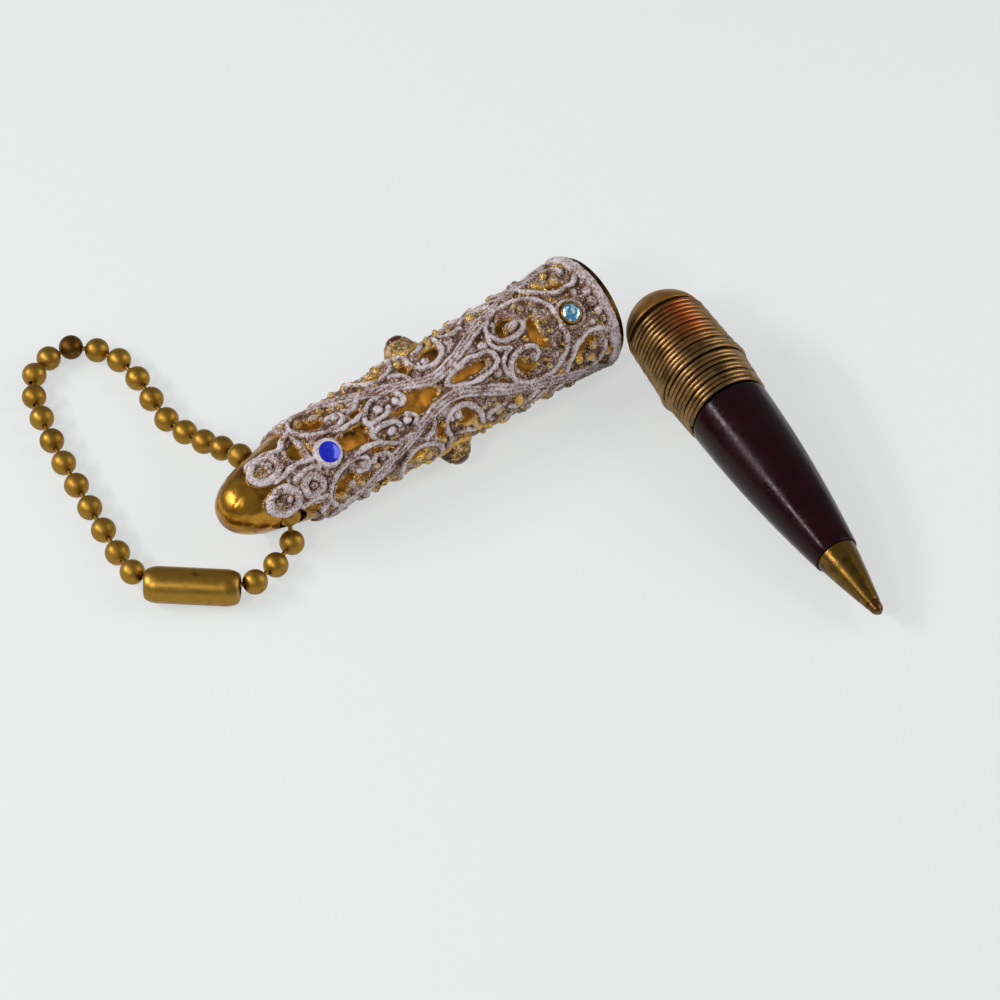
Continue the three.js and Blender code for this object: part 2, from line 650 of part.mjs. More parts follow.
// The refill's tip: a nub with the ball's socket, and a stem with the ink channel.
function refillTip() {
  const socketR = BALL_R + RUN_GAP;
  const mouth = Math.acos((ballAt - socketFace) / socketR);
  const socket = spaced(4, (share) => lerp(mouth, Math.PI - Math.asin(INK_CHANNEL_R / socketR), share))
    .map((turn) => [socketR * Math.sin(turn), ballAt - socketR * Math.cos(turn)]);
  return turnedRing([
    [NUB_R - 0.14, socketFace],
    [NUB_R, socketFace + 0.4],
    [NUB_R, NUB_LENGTH - 0.25],
    [STEM_R, NUB_LENGTH],
    [STEM_R, STEM_END],
    [INK_CHANNEL_R, STEM_END],
    ...socket.reverse(),
  ], 14);
}

// The nose cone: a bore for the refill's tip, a wider one for its tube, and a screwed collar.
function noseCone() {
  const stemBoreR = STEM_R + SEAT_GAP;
  const tubeBoreR = INK_TUBE_R + SEAT_GAP;
  const tubeBoreFrom = INK_TUBE_FROM - SEAT_GAP;
  const collarEnd = CONE_LENGTH + COLLAR_LENGTH;
  return turnedRing([
    [stemBoreR, CONE_FRONT],
    [CONE_FRONT_R, CONE_FRONT],
    [CONE_BASE_R, CONE_LENGTH],
    [COLLAR_R, CONE_LENGTH],
    [COLLAR_R, collarEnd],
    [tubeBoreR, collarEnd],
    [tubeBoreR, tubeBoreFrom],
    [stemBoreR, tubeBoreFrom],
  ], 20);
}

function writingBall() {
  return turned(spaced(6, (share) => share * Math.PI).map((turn) => (
    [BALL_R * Math.sin(turn), ballAt - BALL_R * Math.cos(turn)])), 10);
}

function inkTube() {
  return turnedRing([
    [INK_BORE_R, INK_TUBE_FROM],
    [INK_TUBE_R, INK_TUBE_FROM],
    [INK_TUBE_R, INK_TUBE_END],
    [INK_BORE_R, INK_TUBE_END],
  ], 12);
}

// Chain

// Turns +Z to a direction and moves the origin to a point.
function aimed(geometry, direction, point) {
  const turn = new THREE.Quaternion().setFromUnitVectors(new THREE.Vector3(0, 0, 1), direction);
  return geometry.applyQuaternion(turn).translate(point.x, point.y, point.z);
}

// A hollow bead, open at the bottom for the last bead's link.
function hollowBead() {
  const outer = [0, 40, 80, 120].map(radians);
  const inner = [110, 60, 0].map(radians);
  const innerR = BEAD_R - BEAD_WALL;
  return turned([
    ...outer.map((turn) => [BEAD_R * Math.sin(turn), BEAD_R * Math.cos(turn)]),
    [BEAD_HOLE_R, -Math.sqrt(BEAD_R ** 2 - BEAD_HOLE_R ** 2)],
    [BEAD_HOLE_R, -Math.sqrt(innerR ** 2 - BEAD_HOLE_R ** 2)],
    ...inner.map((turn) => [innerR * Math.sin(turn), innerR * Math.cos(turn)]),
  ], 8);
}

// The link that leaves a bead: a pin with a round head, held loosely in the next bead.
function link() {
  const root = BEAD_R - 0.9 * BEAD_WALL;
  const head = [145, 90, 40, 0].map(radians);
  return turned([
    [0, root],
    [LINK_R, root],
    [LINK_R, LINK_REACH - LINK_HEAD_R * 0.85],
    ...head.slice(1).map((turn) => (
      [LINK_HEAD_R * Math.sin(turn), LINK_REACH + LINK_HEAD_R * Math.cos(turn)])),
  ], 6);
}

const couplingTurn = radians(COUPLING_AZIMUTH);
const couplingWay = new THREE.Vector3(Math.cos(couplingTurn), Math.sin(couplingTurn), 0);
const [couplingAlong, couplingAcross] = COUPLING_PLACE;
const couplingCentre = new THREE.Vector3(couplingAlong - CHAIN_HOLE_AT, couplingAcross, COUPLING_R);

function knotPlace({ at: [along, aside, above], end }) {
  if (!end) return new THREE.Vector3(along - CHAIN_HOLE_AT, aside, above);
  const place = couplingCentre.clone().addScaledVector(couplingWay, end * (COUPLING_LENGTH / 2 + along));
  return place.add(new THREE.Vector3(-couplingWay.y * aside, couplingWay.x * aside, above - COUPLING_R));
}

// Bead centres: the beads of each stretch stand evenly along the curve between its two knots.
function chainPlaces() {
  const curve = new THREE.CatmullRomCurve3(CHAIN_KNOTS.map(knotPlace), false, 'centripetal');
  const spans = CHAIN_KNOTS.length - 1;
  const places = [curve.getPoint(0)];
  for (let i = 1; i <= spans; i++) {
    const points = spaced(12, (share) => curve.getPoint((i - 1 + share) / spans));
    const stretch = new THREE.CatmullRomCurve3(points);
    places.push(...stretch.getSpacedPoints(CHAIN_KNOTS[i].beads).slice(1));
  }
  for (const place of places) place.z = Math.max(place.z, BEAD_R);
  return places;
}

function bead(places, i) {
  const here = places[i];
  const toPrevious = i === 0
    ? here.clone().sub(places[1]).normalize()
    : places[i - 1].clone().sub(here).normalize();
  const ball = toSolid(aimed(hollowBead(), toPrevious.negate(), here));
  if (i === places.length - 1) return toGeometry(ball);
  const toNext = places[i + 1].clone().sub(here).normalize();
  return toGeometry(ball.add(toSolid(aimed(link(), toNext, here))));
}

// The coupling: a rolled tube with drawn-in ends and a slot along it, turned about +Z.
function coupling() {
  const half = COUPLING_LENGTH / 2;
  const shoulder = COUPLING_SHOULDER;
  const end = (sign, inset) => {
    const radius = COUPLING_R - inset;
    const face = sign * (half - inset);
    return [
      [radius, face - sign * shoulder],
      [radius - 0.3 * shoulder, face - sign * 0.3 * shoulder],
      [COUPLING_END_HOLE_R, face],
    ];
  };
  const tube = toSolid(turnedRing([
    ...end(-1, 0).reverse(),
    ...end(1, 0),
    ...end(1, COUPLING_WALL).reverse(),
    ...end(-1, COUPLING_WALL),
  ], 16));
  const slot = new THREE.BoxGeometry(2 * COUPLING_R, COUPLING_SLOT, 2 * COUPLING_LENGTH);
  return toGeometry(tube.subtract(toSolid(slot.translate(COUPLING_R, 0, 0))));
}

// Assembly

function makeCapsule() {
  const capsule = new THREE.Group();
  capsule.add(node('capsule_shell', capsuleShell(), 'polished_brass'));
  capsule.add(node('filigree_rim_band', hoop(rimBandFrom, rimBandTo), 'white_wash'));
  capsule.add(node('filigree_sleeve', filigreeSleeve(), 'white_wash'));
  capsule.add(node('filigree_shoulder_collar', shoulderCollar(), 'white_wash'));
  addStones(capsule);
  // It rests along the sleeve, from the rim to the shoulder, so its axis dips towards the dome.
  capsule.rotation.y = -Math.atan2(SLEEVE_MOUTH_R - SLEEVE_END_R, SLEEVE_END);
  return capsule;
}

function makePen() {
  const pen = new THREE.Group();
  pen.add(node('pen_barrel', barrel(), 'maroon_plastic'));
  pen.add(node('pen_end_cap', endCap(), 'aged_brass'));
  pen.add(node('pen_grip_coil', gripCoil(), 'bronze_wire'));
  pen.add(node('pen_nose_cone', noseCone(), 'aged_brass'));
  pen.add(node('pen_refill_tube', inkTube(), 'ink_plastic'));
  pen.add(node('pen_refill_tip', refillTip(), 'aged_brass'));
  pen.add(node('pen_writing_ball', writingBall(), 'steel'));
  // It rests on the coil's fat turn and on the barrel's belly, so the nub is clear of the table.
  const rises = spaced(20, (share) => {
    const at = lerp(CONE_LENGTH + SEAT_GAP, BARREL_REAR, share);
    return Math.atan((COIL_STEP_R - barrelRadius(at)) / (COIL_STEP_AT - at));
  });
  const rise = Math.min(...rises);
  const azimuth = radians(PEN_AZIMUTH);
  const along = new THREE.Vector3(Math.cos(azimuth), Math.sin(azimuth), Math.tan(rise)).normalize();
  const level = new THREE.Vector3(-Math.sin(azimuth), Math.cos(azimuth), 0);
  const down = along.clone().cross(level).negate();
  pen.setRotationFromMatrix(new THREE.Matrix4().makeBasis(down, along.clone().cross(down), along));
  pen.position.set(PEN_STEP_PLACE[0], PEN_STEP_PLACE[1], 0).addScaledVector(along, -COIL_STEP_AT);
  return pen;
}

function makeChain() {
  const chain = new THREE.Group();
  const places = chainPlaces();
  const pitches = places.slice(1).map((place, i) => place.distanceTo(places[i]));
  console.log('chain: beads', places.length, 'pitches', pitches.map((pitch) => pitch.toFixed(2)).join(' '));
  places.forEach((_, i) => {
    const name = `chain_bead_${String(i + 1).padStart(2, '0')}`;
    chain.add(node(name, bead(places, i), 'chain_brass'));
  });
  const clamp = node('chain_coupling', coupling(), 'chain_brass');
  const along = couplingWay;
  const tilt = radians(COUPLING_SLOT_ANGLE);
  const slotWay = new THREE.Vector3(along.y, -along.x, 0).multiplyScalar(Math.cos(tilt));
  slotWay.z = Math.sin(tilt);
  clamp.setRotationFromMatrix(new THREE.Matrix4().makeBasis(slotWay, along.clone().cross(slotWay), along));
  clamp.position.copy(couplingCentre);
  chain.add(clamp);
  return chain;
}

// Lowers or lifts a group until its lowest point is on the table.
function seat(group) {
  group.updateMatrixWorld(true);
  const box = new THREE.Box3().setFromObject(group, true);
  group.position.z -= box.min.z;
}

const set = new THREE.Group();
const capsule = makeCapsule();
const pen = makePen();
seat(capsule);
seat(pen);
set.add(capsule, pen, makeChain());

// The origin goes under the middle of the set.
const extent = new THREE.Box3().setFromObject(set, true);
set.position.set(-(extent.min.x + extent.max.x) / 2, -(extent.min.y + extent.max.y) / 2, -extent.min.z);
set.updateMatrixWorld(true);

// Places and directions for whoever writes down the joints and mounts.
function report(label, group, point, direction) {
  const at = new THREE.Vector3(...point).applyMatrix4(group.matrixWorld);
  const way = new THREE.Vector3(...direction).transformDirection(group.matrixWorld);
  const show = (vector, digits) => vector.toArray().map((value) => Number(value.toFixed(digits)));
  console.log(label, 'at', show(at, 3), 'along', show(way, 5));
}
report('capsule mouth', capsule, [0, 0, 0], [1, 0, 0]);
report('lip face', capsule, [0, 0, (LIP_R + shellRadius(0) - SHELL_WALL) / 2], [1, 0, 0]);
report('capsule bore, 40 mm deep', capsule, [-40, 0, 0], [1, 0, 0]);
const holeRise = radians(CHAIN_HOLE_RISE);
report('chain holes', capsule, [-CHAIN_HOLE_AT, 0, 0], [0, Math.cos(holeRise), Math.sin(holeRise)]);
report('pen tip', pen, [0, 0, 0], [0, 0, -1]);
report('ball axis', pen, [0, 0, ballAt], [0, 1, 0]);
report('ball', pen, [0, 0, ballAt], [0, 0, 1]);
report('coupling', set, couplingCentre.toArray(), couplingWay.toArray());

export default set;
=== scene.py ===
"""Looks for the capsule pocket pen: a jewelled filigree capsule on a ball chain, with its pen beside it."""

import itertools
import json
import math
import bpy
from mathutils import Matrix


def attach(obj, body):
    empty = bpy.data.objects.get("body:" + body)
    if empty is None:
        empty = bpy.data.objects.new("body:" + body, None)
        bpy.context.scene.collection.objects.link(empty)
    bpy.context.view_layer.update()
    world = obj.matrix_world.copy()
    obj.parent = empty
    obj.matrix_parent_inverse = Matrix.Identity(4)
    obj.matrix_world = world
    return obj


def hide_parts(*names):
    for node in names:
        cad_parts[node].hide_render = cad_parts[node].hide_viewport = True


bl_info = {
    "name": "Capsule Pocket Pen",
    "version": (1, 0, 0),
    "blender": (4, 5, 0),
    "location": "View3D > Sidebar > Capsule Pen",
    "description": "Builds the capsule, the pen, the bead chain and the table round the packed model",
    "category": "Object",
}

import bpy
import numpy as np
from bpy.props import FloatProperty, FloatVectorProperty, IntProperty, PointerProperty
from mathutils import Matrix

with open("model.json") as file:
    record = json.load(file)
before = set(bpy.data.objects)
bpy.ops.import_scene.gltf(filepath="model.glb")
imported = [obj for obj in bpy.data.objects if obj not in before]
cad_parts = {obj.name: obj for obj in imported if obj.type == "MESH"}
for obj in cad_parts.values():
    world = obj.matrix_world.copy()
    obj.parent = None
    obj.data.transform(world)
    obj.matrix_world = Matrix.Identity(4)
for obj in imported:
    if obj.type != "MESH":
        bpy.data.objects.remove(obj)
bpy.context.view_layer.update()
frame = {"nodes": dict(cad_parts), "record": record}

MM = 0.001


def linear(hex_colour):
    """A colour written as six sRGB hex digits, as linear red, green, blue and an alpha of one."""
    parts = [int(hex_colour[i:i + 2], 16) / 255 for i in (0, 2, 4)]
    return tuple(c / 12.92 if c <= 0.04045 else ((c + 0.055) / 1.055) ** 2.4 for c in parts) + (1.0,)


def colour(name, description, hex_colour):
    """A colour property with its default given in sRGB hex."""
    return FloatVectorProperty(name=name, description=description, subtype="COLOR", size=4, min=0, max=1,
                               default=linear(hex_colour))


def length(name, description, millimetres):
    """A length property with its default given in millimetres."""
    return FloatProperty(name=name, description=description, unit="LENGTH", min=0, default=millimetres * MM)


# Sizes and colours that a user would change

class CapsuleSettings(bpy.types.PropertyGroup):
    lip_radius: length("Lip radius", "Outer radius of the bare lip in front of the filigree", 7.2)
    wall: length("Wall", "Thickness of the shell's sheet metal", 0.4)
    filigree_height: length("Filigree height", "How far the strands stand off the shell", 0.85)
    knob_height: length("Knob height", "How far the round knobs stand off the shell", 1.13)
    strand_width: length("Strand width", "Width of a single strand", 0.9)
    ribbon_width: length("Ribbon width", "Width of the long ribbons of three strands", 1.6)
    grid_spacing: length("Grid spacing", "Distance between the points of the filigree's surface", 0.12)
    brass: colour("Brass", "Lacquered brass of the shell", "ba862f")
    gilt: colour("Gilt", "Gilding that shows on the worn knobs", "dfb25a")
    wash: colour("Wash", "Pale enamel wash on the filigree's tops", "e3d5d7")
    patina: colour("Patina", "Brown tone of the casting under the wash", "966444")
    blue: colour("Blue stone", "Foiled glass by the shoulder", "0218cc")
    aqua: colour("Aqua stone", "Faceted glass by the mouth", "2f83ae")
    garnet: colour("Garnet stone", "Dark red glass on the sides", "4d0a10")


class PenSettings(bpy.types.PropertyGroup):
    coil_turns: IntProperty(name="Coil turns", description="Turns of wire wound round the barrel", min=5,
                            default=22)
    wire: length("Wire", "Thickness of the coil's wire", 0.66)
    plastic: colour("Plastic", "Moulded maroon plastic of the barrel", "1c050b")
    brass: colour("Aged brass", "Toned brass of the nose", "785a27")
    wire_colour: colour("Wire colour", "Drawn bronze wire of the coil", "98764a")


class ChainSettings(bpy.types.PropertyGroup):
    bead_radius: length("Bead radius", "Outer radius of one bead", 1.6)
    link_radius: length("Link radius", "Radius of the pins between the beads", 0.3)
    brass: colour("Antiqued brass", "Darkened brass of the beads and the coupling", "a37b30")
    patina: colour("Patina", "Brown tone left by handling", "4c2a12")


class StageSettings(bpy.types.PropertyGroup):
    lens: FloatProperty(name="Lens", description="Focal length on a 36 mm wide sensor", unit="CAMERA",
                        subtype="DISTANCE_CAMERA", default=165.65)
    lamp_power: FloatProperty(name="Lamp power", description="Power that each lamp has a share of",
                              unit="POWER", default=1.5)
    floor: colour("Floor", "Pale paper under the object", "dfe3e2")
    backdrop: colour("Backdrop", "Tone of the paper as it is seen", "f4f6f5")


# Where things are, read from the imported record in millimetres

def unit(vector):
    vector = np.asarray(vector, float)
    return vector / np.linalg.norm(vector)


class Axes:
    """A place and three square directions: along, side and rise, in millimetres."""

    def __init__(self, origin, along, rise):
        self.origin = np.asarray(origin, float)
        self.along = unit(along)
        self.side = unit(np.cross(rise, self.along))
        self.rise = np.cross(self.along, self.side)

    def place(self, distance, across, up):
        """Points at a distance along the axis, across and up, as an array with x, y, z last."""
        return (self.origin + np.asarray(distance)[..., None] * self.along
                + np.asarray(across)[..., None] * self.side + np.asarray(up)[..., None] * self.rise)


def joint_axes(name, rise, way=1):
    """Axes that run along a joint of the record, or against it where way is -1."""
    joint = next(row for row in frame["record"]["behaviour"]["joints"] if row["name"] == name)
    return Axes(np.array(joint["pos_m"]) / MM, way * np.array(joint["axis"]), rise)


LIP_MOUNT = next(mount for mount in frame["record"]["mounts"] if mount["name"] == "mouth_rim")
# The mount's point is on the face of the lip, this far from the middle of the mouth.
LIP_POINT_RADIUS = 6.873
MOUTH_AXIS = unit(LIP_MOUNT["axis"])
MOUTH_UP = np.cross(MOUTH_AXIS, (0, 1, 0))
MOUTH_CENTRE = np.array(LIP_MOUNT["pos_m"]) / MM - LIP_POINT_RADIUS * MOUTH_UP
# The chain and the camera are placed from the point of the table under the mouth.
UNDER_MOUTH = MOUTH_CENTRE * (1, 1, 0)

# The capsule's distances run from the mouth to the dome, and the pen's from its writing tip.
CAPSULE = Axes(MOUTH_CENTRE, -MOUTH_AXIS, MOUTH_UP)
PEN = joint_axes("cone_turn", (0, 0, 1), -1)
COUPLING = joint_axes("coupling_spin", (0, 0, 1))
HOLES = joint_axes("chain_swing", MOUTH_AXIS)


# Mesh helpers

def make_piece(name, vertices, faces, body, finish, material, sharp=40.0):
    """Puts arrays of millimetre points and faces into a mesh, turned outwards, and lets it ride on a body."""
    vertices = np.asarray(vertices, float) * MM
    faces = [np.asarray(group, int) for group in faces if len(group)]
    if signed_volume(vertices, faces) < 0:
        faces = [group[:, ::-1] for group in faces]
    mesh = bpy.data.meshes.new(name)
    counts = np.concatenate([np.full(len(group), group.shape[1]) for group in faces])
    corners = np.concatenate([group.ravel() for group in faces])
    mesh.vertices.add(len(vertices))
    mesh.vertices.foreach_set("co", vertices.astype(np.float32).ravel())
    mesh.loops.add(len(corners))
    mesh.loops.foreach_set("vertex_index", corners.astype(np.int32))
    mesh.polygons.add(len(counts))
    mesh.polygons.foreach_set("loop_start", np.concatenate([[0], np.cumsum(counts)[:-1]]).astype(np.int32))
    mesh.polygons.foreach_set("use_smooth", np.ones(len(counts), bool))
    mesh.update(calc_edges=True)
    mesh.validate()
    mesh.set_sharp_from_angle(angle=math.radians(sharp))
    piece = bpy.data.objects.new(name, mesh)
    bpy.context.scene.collection.objects.link(piece)
    mesh.materials.append(material)
    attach(piece, body)
    return piece


def signed_volume(vertices, faces):
    """Six times the volume that the faces enclose, each split into a fan of triangles."""
    total = 0.0
    for group in faces:
        for k in range(1, group.shape[1] - 1):
            a, b, c = (vertices[group[:, i]] for i in (0, k, k + 1))
            total += np.einsum("ij,ij->", a, np.cross(b, c))
    return total


def quads(rows, columns, wrap_rows=False, wrap_columns=True):
    """Four-cornered faces of a grid of points numbered row by row."""
    i = np.arange(rows if wrap_rows else rows - 1)[:, None]
    j = np.arange(columns if wrap_columns else columns - 1)[None, :]
    i2, j2 = (i + 1) % rows, (j + 1) % columns
    corners = (i * columns + j, i2 * columns + j, i2 * columns + j2, i * columns + j2)
    return np.stack(corners, -1).reshape(-1, 4)


def turned(axes, profile, segments, loop=False):
    """A profile of (radius, distance) points carried round an axis. Where it starts or ends on the axis, a
    fan of triangles closes it."""
    profile = np.asarray(profile, float)
    on_axis = profile[:, 0] < 1e-6
    start, end = int(on_axis[0]), len(profile) - int(on_axis[-1])
    rings = profile[start:end]
    angle = np.linspace(0, 2 * np.pi, segments, endpoint=False)
    radius, distance = rings[:, :1], rings[:, 1:]
    points = axes.place(distance + 0 * angle, radius * np.cos(angle), radius * np.sin(angle)).reshape(-1, 3)
    faces = [quads(len(rings), segments, wrap_rows=loop)]
    around = np.arange(segments)
    ahead = (around + 1) % segments
    last = (len(rings) - 1) * segments
    for k, fan in ((0, (around, ahead)), (-1, (last + ahead, last + around))):
        if on_axis[k]:
            points = np.vstack([points, axes.place(profile[k, 1], 0.0, 0.0)])
            faces.append(np.stack([*fan, np.full(segments, len(points) - 1)], -1))
    return points, faces


def joined(shapes):
    """Several (points, faces) as one."""
    points, faces, count = [], {}, 0
    for shape_points, shape_faces in shapes:
        points.append(shape_points)
        for group in shape_faces:
            faces.setdefault(group.shape[1], []).append(np.asarray(group) + count)
        count += len(shape_points)
    return np.vstack(points), [np.vstack(groups) for groups in faces.values()]


def rounded(profile, radius, steps=4):
    """A profile with each inner corner replaced by a short quadratic curve that touches both of its sides."""
    profile = [np.asarray(point, float) for point in profile]
    result = [profile[0]]
    for before, corner, after in zip(profile, profile[1:], profile[2:]):
        reach = min(radius, np.linalg.norm(before - corner) / 2, np.linalg.norm(after - corner) / 2)
        a = corner + reach * unit(before - corner)
        b = corner + reach * unit(after - corner)
        for t in np.linspace(0, 1, steps):
            result.append((1 - t) ** 2 * a + 2 * t * (1 - t) * corner + t ** 2 * b)
    return np.array(result + [profile[-1]])


def with_ends(knots):
    """Knots with one more at each end, as far beyond the end knot as its neighbour is before it."""
    return np.vstack([2 * knots[0] - knots[1], knots, 2 * knots[-1] - knots[-2]])


def catmull_rom(knots, steps):
    """The uniform Catmull-Rom cubics, each between the inner two of four knots that follow each other."""
    a, b, c, d = (knots[k:len(knots) - 3 + k, None] for k in range(4))
    t = np.linspace(0, 1, steps, endpoint=False)[:, None]
    spans = 0.5 * (2 * b + (c - a) * t + (2 * a - 5 * b + 4 * c - d) * t ** 2
                   + (3 * b - a - 3 * c + d) * t ** 3)
    return spans.reshape(-1, knots.shape[1])


def tube(path, radius, sides):
    """A round tube along a path. Each ring is square to the path and turned as little as possible, and a low
    dome closes each end."""
    tangent = np.gradient(path, axis=0)
    tangent /= np.linalg.norm(tangent, axis=1, keepdims=True)
    normal = np.empty_like(path)
    normal[0] = unit(np.cross(tangent[0], (0.3, 0.2, 1.0)))
    for i in range(1, len(path)):
        normal[i] = unit(normal[i - 1] - tangent[i] * (normal[i - 1] @ tangent[i]))
    angle = np.linspace(0, 2 * np.pi, sides, endpoint=False)[:, None]
    ring = np.cos(angle) * normal[:, None] + np.sin(angle) * np.cross(tangent, normal)[:, None]
    points = (path[:, None] + radius * ring).reshape(-1, 3)
    domes = [path[0] - tangent[0] * radius * 0.5, path[-1] + tangent[-1] * radius * 0.5]
    around = np.arange(sides)
    ahead = (around + 1) % sides
    last = (len(path) - 1) * sides
    fans = [np.stack([*fan, np.full(sides, len(points) + k)], -1)
            for k, fan in enumerate(((ahead, around), (last + around, last + ahead)))]
    return np.vstack([points, *domes]), [quads(len(path), sides), np.vstack(fans)]


def closed_sheet(outer, inner, *groups):
    """Joins an outer and an inner grid of points by groups of faces, with walls along every open edge."""
    count = len(outer)
    edges = np.vstack([np.stack([group, np.roll(group, -1, axis=1)], -1).reshape(-1, 2) for group in groups])
    rim = edges[~np.isin(edges @ (count, 1), edges @ (1, count))]
    walls = np.stack([rim[:, 1], rim[:, 0], rim[:, 0] + count, rim[:, 1] + count], -1)
    faces = [*groups, *(group[:, ::-1] + count for group in groups), walls]
    used = np.unique(np.concatenate([group.ravel() for group in faces]))
    return np.vstack([outer, inner])[used], [np.searchsorted(used, group) for group in faces], used


def give(piece, name, values):
    """Stores one number for each point of a piece."""
    attribute = piece.data.attributes.new(name, "FLOAT", "POINT")
    attribute.data.foreach_set("value", np.asarray(values, np.float32))


# Materials: coordinates are in millimetres, so a noise's Scale counts its features in a millimetre

NOISE = "ShaderNodeTexNoise"
RANGE = "ShaderNodeMapRange"
MATHS = "ShaderNodeMath"
BUMP = "ShaderNodeBump"
ATTRIBUTE = "ShaderNodeAttribute"
PRINCIPLED = "ShaderNodeBsdfPrincipled"
OUTPUT = "ShaderNodeOutputMaterial"
# What makes a Mix node mix colours, with its result's socket, and the sockets of its share and two colours
MIX = "ShaderNodeMix"
COLOURS = {"data_type": "RGBA", "output": 2}
SHARE, FIRST, SECOND = 0, 6, 7


def add(tree, kind, inputs, output=0, **settings):
    """Adds a node with its settings, links inputs that are sockets, sets the others, and gives an output."""
    node = tree.nodes.new(kind)
    for name, value in settings.items():
        setattr(node, name, value)
    for name, value in inputs.items():
        if isinstance(value, bpy.types.NodeSocket):
            tree.links.new(value, node.inputs[name])
        else:
            node.inputs[name].default_value = value
    return node.outputs[output] if len(node.outputs) else None


def start_material(name):
    """An empty material, with its tree and its Object coordinates in millimetres."""
    material = bpy.data.materials.new(name)
    material.use_nodes = True
    tree = material.node_tree
    tree.nodes.clear()
    place = add(tree, "ShaderNodeTexCoord", {}, "Object")
    return material, tree, add(tree, "ShaderNodeVectorMath", {0: place, "Scale": 1 / MM}, operation="SCALE")


def aged_metal(name, base, tone, roughness, patch_size, grain_depth, tone_share=0.5, dent=0.0):
    """Metal with darker patches where it has toned, shallow dents, a fine grain, and a roughness that follows
    the patches. Sizes and depths are in millimetres."""
    material, tree, place = start_material(name)
    patches = add(tree, NOISE, {"Vector": place, "Scale": 1 / patch_size, "Detail": 6.0, "Roughness": 0.6})
    share = add(tree, RANGE, {"Value": patches, "From Min": 0.42, "From Max": 0.68, "To Max": tone_share})
    mixed = add(tree, MIX, {SHARE: share, FIRST: base, SECOND: tone}, **COLOURS)
    rough = add(tree, RANGE, {"Value": patches, "From Min": 0.3, "From Max": 0.75,
                              "To Min": roughness, "To Max": roughness + 0.22})
    grain = add(tree, NOISE, {"Vector": place, "Scale": 9.0, "Detail": 3.0})
    waves = add(tree, NOISE, {"Vector": place, "Scale": 0.45, "Detail": 1.5})
    dents = add(tree, BUMP, {"Height": waves, "Strength": 1.0, "Distance": dent * MM})
    bump = add(tree, BUMP, {"Height": grain, "Strength": 0.35, "Distance": grain_depth * MM, "Normal": dents})
    shader = add(tree, PRINCIPLED, {"Base Color": mixed, "Metallic": 1.0, "Roughness": rough, "Normal": bump})
    add(tree, OUTPUT, {"Surface": shader})
    return material


def washed_casting(name, wash, gilt, patina):
    """Cast metal, gilded, toned brown and brushed with a matt pale wash. The wash lies on what stands above
    its surroundings, in specks on the granular ground, and is painted darker low down and lighter on the
    highest tops, as painted shade and highlight. Gilding glints on worn knobs, and beside the strands the low
    places are dark with grime and painted shade."""
    material, tree, place = start_material(name)
    relief = add(tree, ATTRIBUTE, {}, "Fac", attribute_name="relief")
    covered = add(tree, ATTRIBUTE, {}, "Fac", attribute_name="wash")
    worn = add(tree, NOISE, {"Vector": place, "Scale": 0.6, "Detail": 4.0, "Roughness": 0.6})
    speck = add(tree, NOISE, {"Vector": place, "Scale": 4.6, "Detail": 4.0, "Roughness": 0.8})
    fine = add(tree, MATHS, {0: speck, 1: 3.0, 2: -1.5}, operation="MULTIPLY_ADD")
    wide = add(tree, MATHS, {0: worn, 1: 1.5, 2: -0.75}, operation="MULTIPLY_ADD")
    wobble = add(tree, MATHS, {0: fine, 1: wide}, operation="ADD")
    held = add(tree, RANGE, {"Value": covered, "To Min": 0.3})
    high = add(tree, MATHS, {0: relief, 1: held}, operation="MULTIPLY")
    level = add(tree, MATHS, {0: high, 1: wobble}, operation="ADD")
    cover = add(tree, RANGE, {"Value": level, "From Min": 0.5, "From Max": 0.61})
    rubbed = add(tree, MATHS, {0: wobble, 1: covered}, operation="SUBTRACT")
    glint = add(tree, RANGE, {"Value": rubbed, "From Min": -0.58, "From Max": -0.36})
    # Low places, below their surroundings, turn dark: grime with painted shade beside the strands.
    hollow = add(tree, RANGE, {"Value": level, "From Min": 0.06, "From Max": 0.5})
    dirt_and_shade = add(tree, MIX, {SHARE: hollow, FIRST: linear("20140f"), SECOND: patina}, **COLOURS)
    metal = add(tree, MIX, {SHARE: glint, FIRST: dirt_and_shade, SECOND: gilt}, **COLOURS)
    # The wash is painted darker where it lies low and lighter than its own colour on the highest tops:
    # painted shade and painted highlight.
    grey = add(tree, RANGE, {"Value": level, "From Min": 0.5, "From Max": 1.05,
                             "To Min": 0.5, "To Max": 1.15})
    chalk = add(tree, MIX, {SHARE: 1.0, FIRST: wash, SECOND: grey}, blend_type="MULTIPLY", **COLOURS)
    mixed = add(tree, MIX, {SHARE: cover, FIRST: metal, SECOND: chalk}, **COLOURS)
    bare = add(tree, RANGE, {"Value": cover, "To Min": 1.0, "To Max": 0.0})
    metallic = add(tree, MATHS, {0: bare, 1: glint}, operation="MULTIPLY")
    rough = add(tree, RANGE, {"Value": metallic, "To Min": 0.7, "To Max": 0.22})
    grain = add(tree, NOISE, {"Vector": place, "Scale": 3.6, "Detail": 4.0, "Roughness": 0.7})
    bump = add(tree, BUMP, {"Height": grain, "Strength": 1.0, "Distance": 0.16 * MM})
    shader = add(tree, PRINCIPLED, {"Base Color": mixed, "Metallic": metallic, "Roughness": rough,
                                    "Normal": bump})
    add(tree, OUTPUT, {"Surface": shader})
    return material


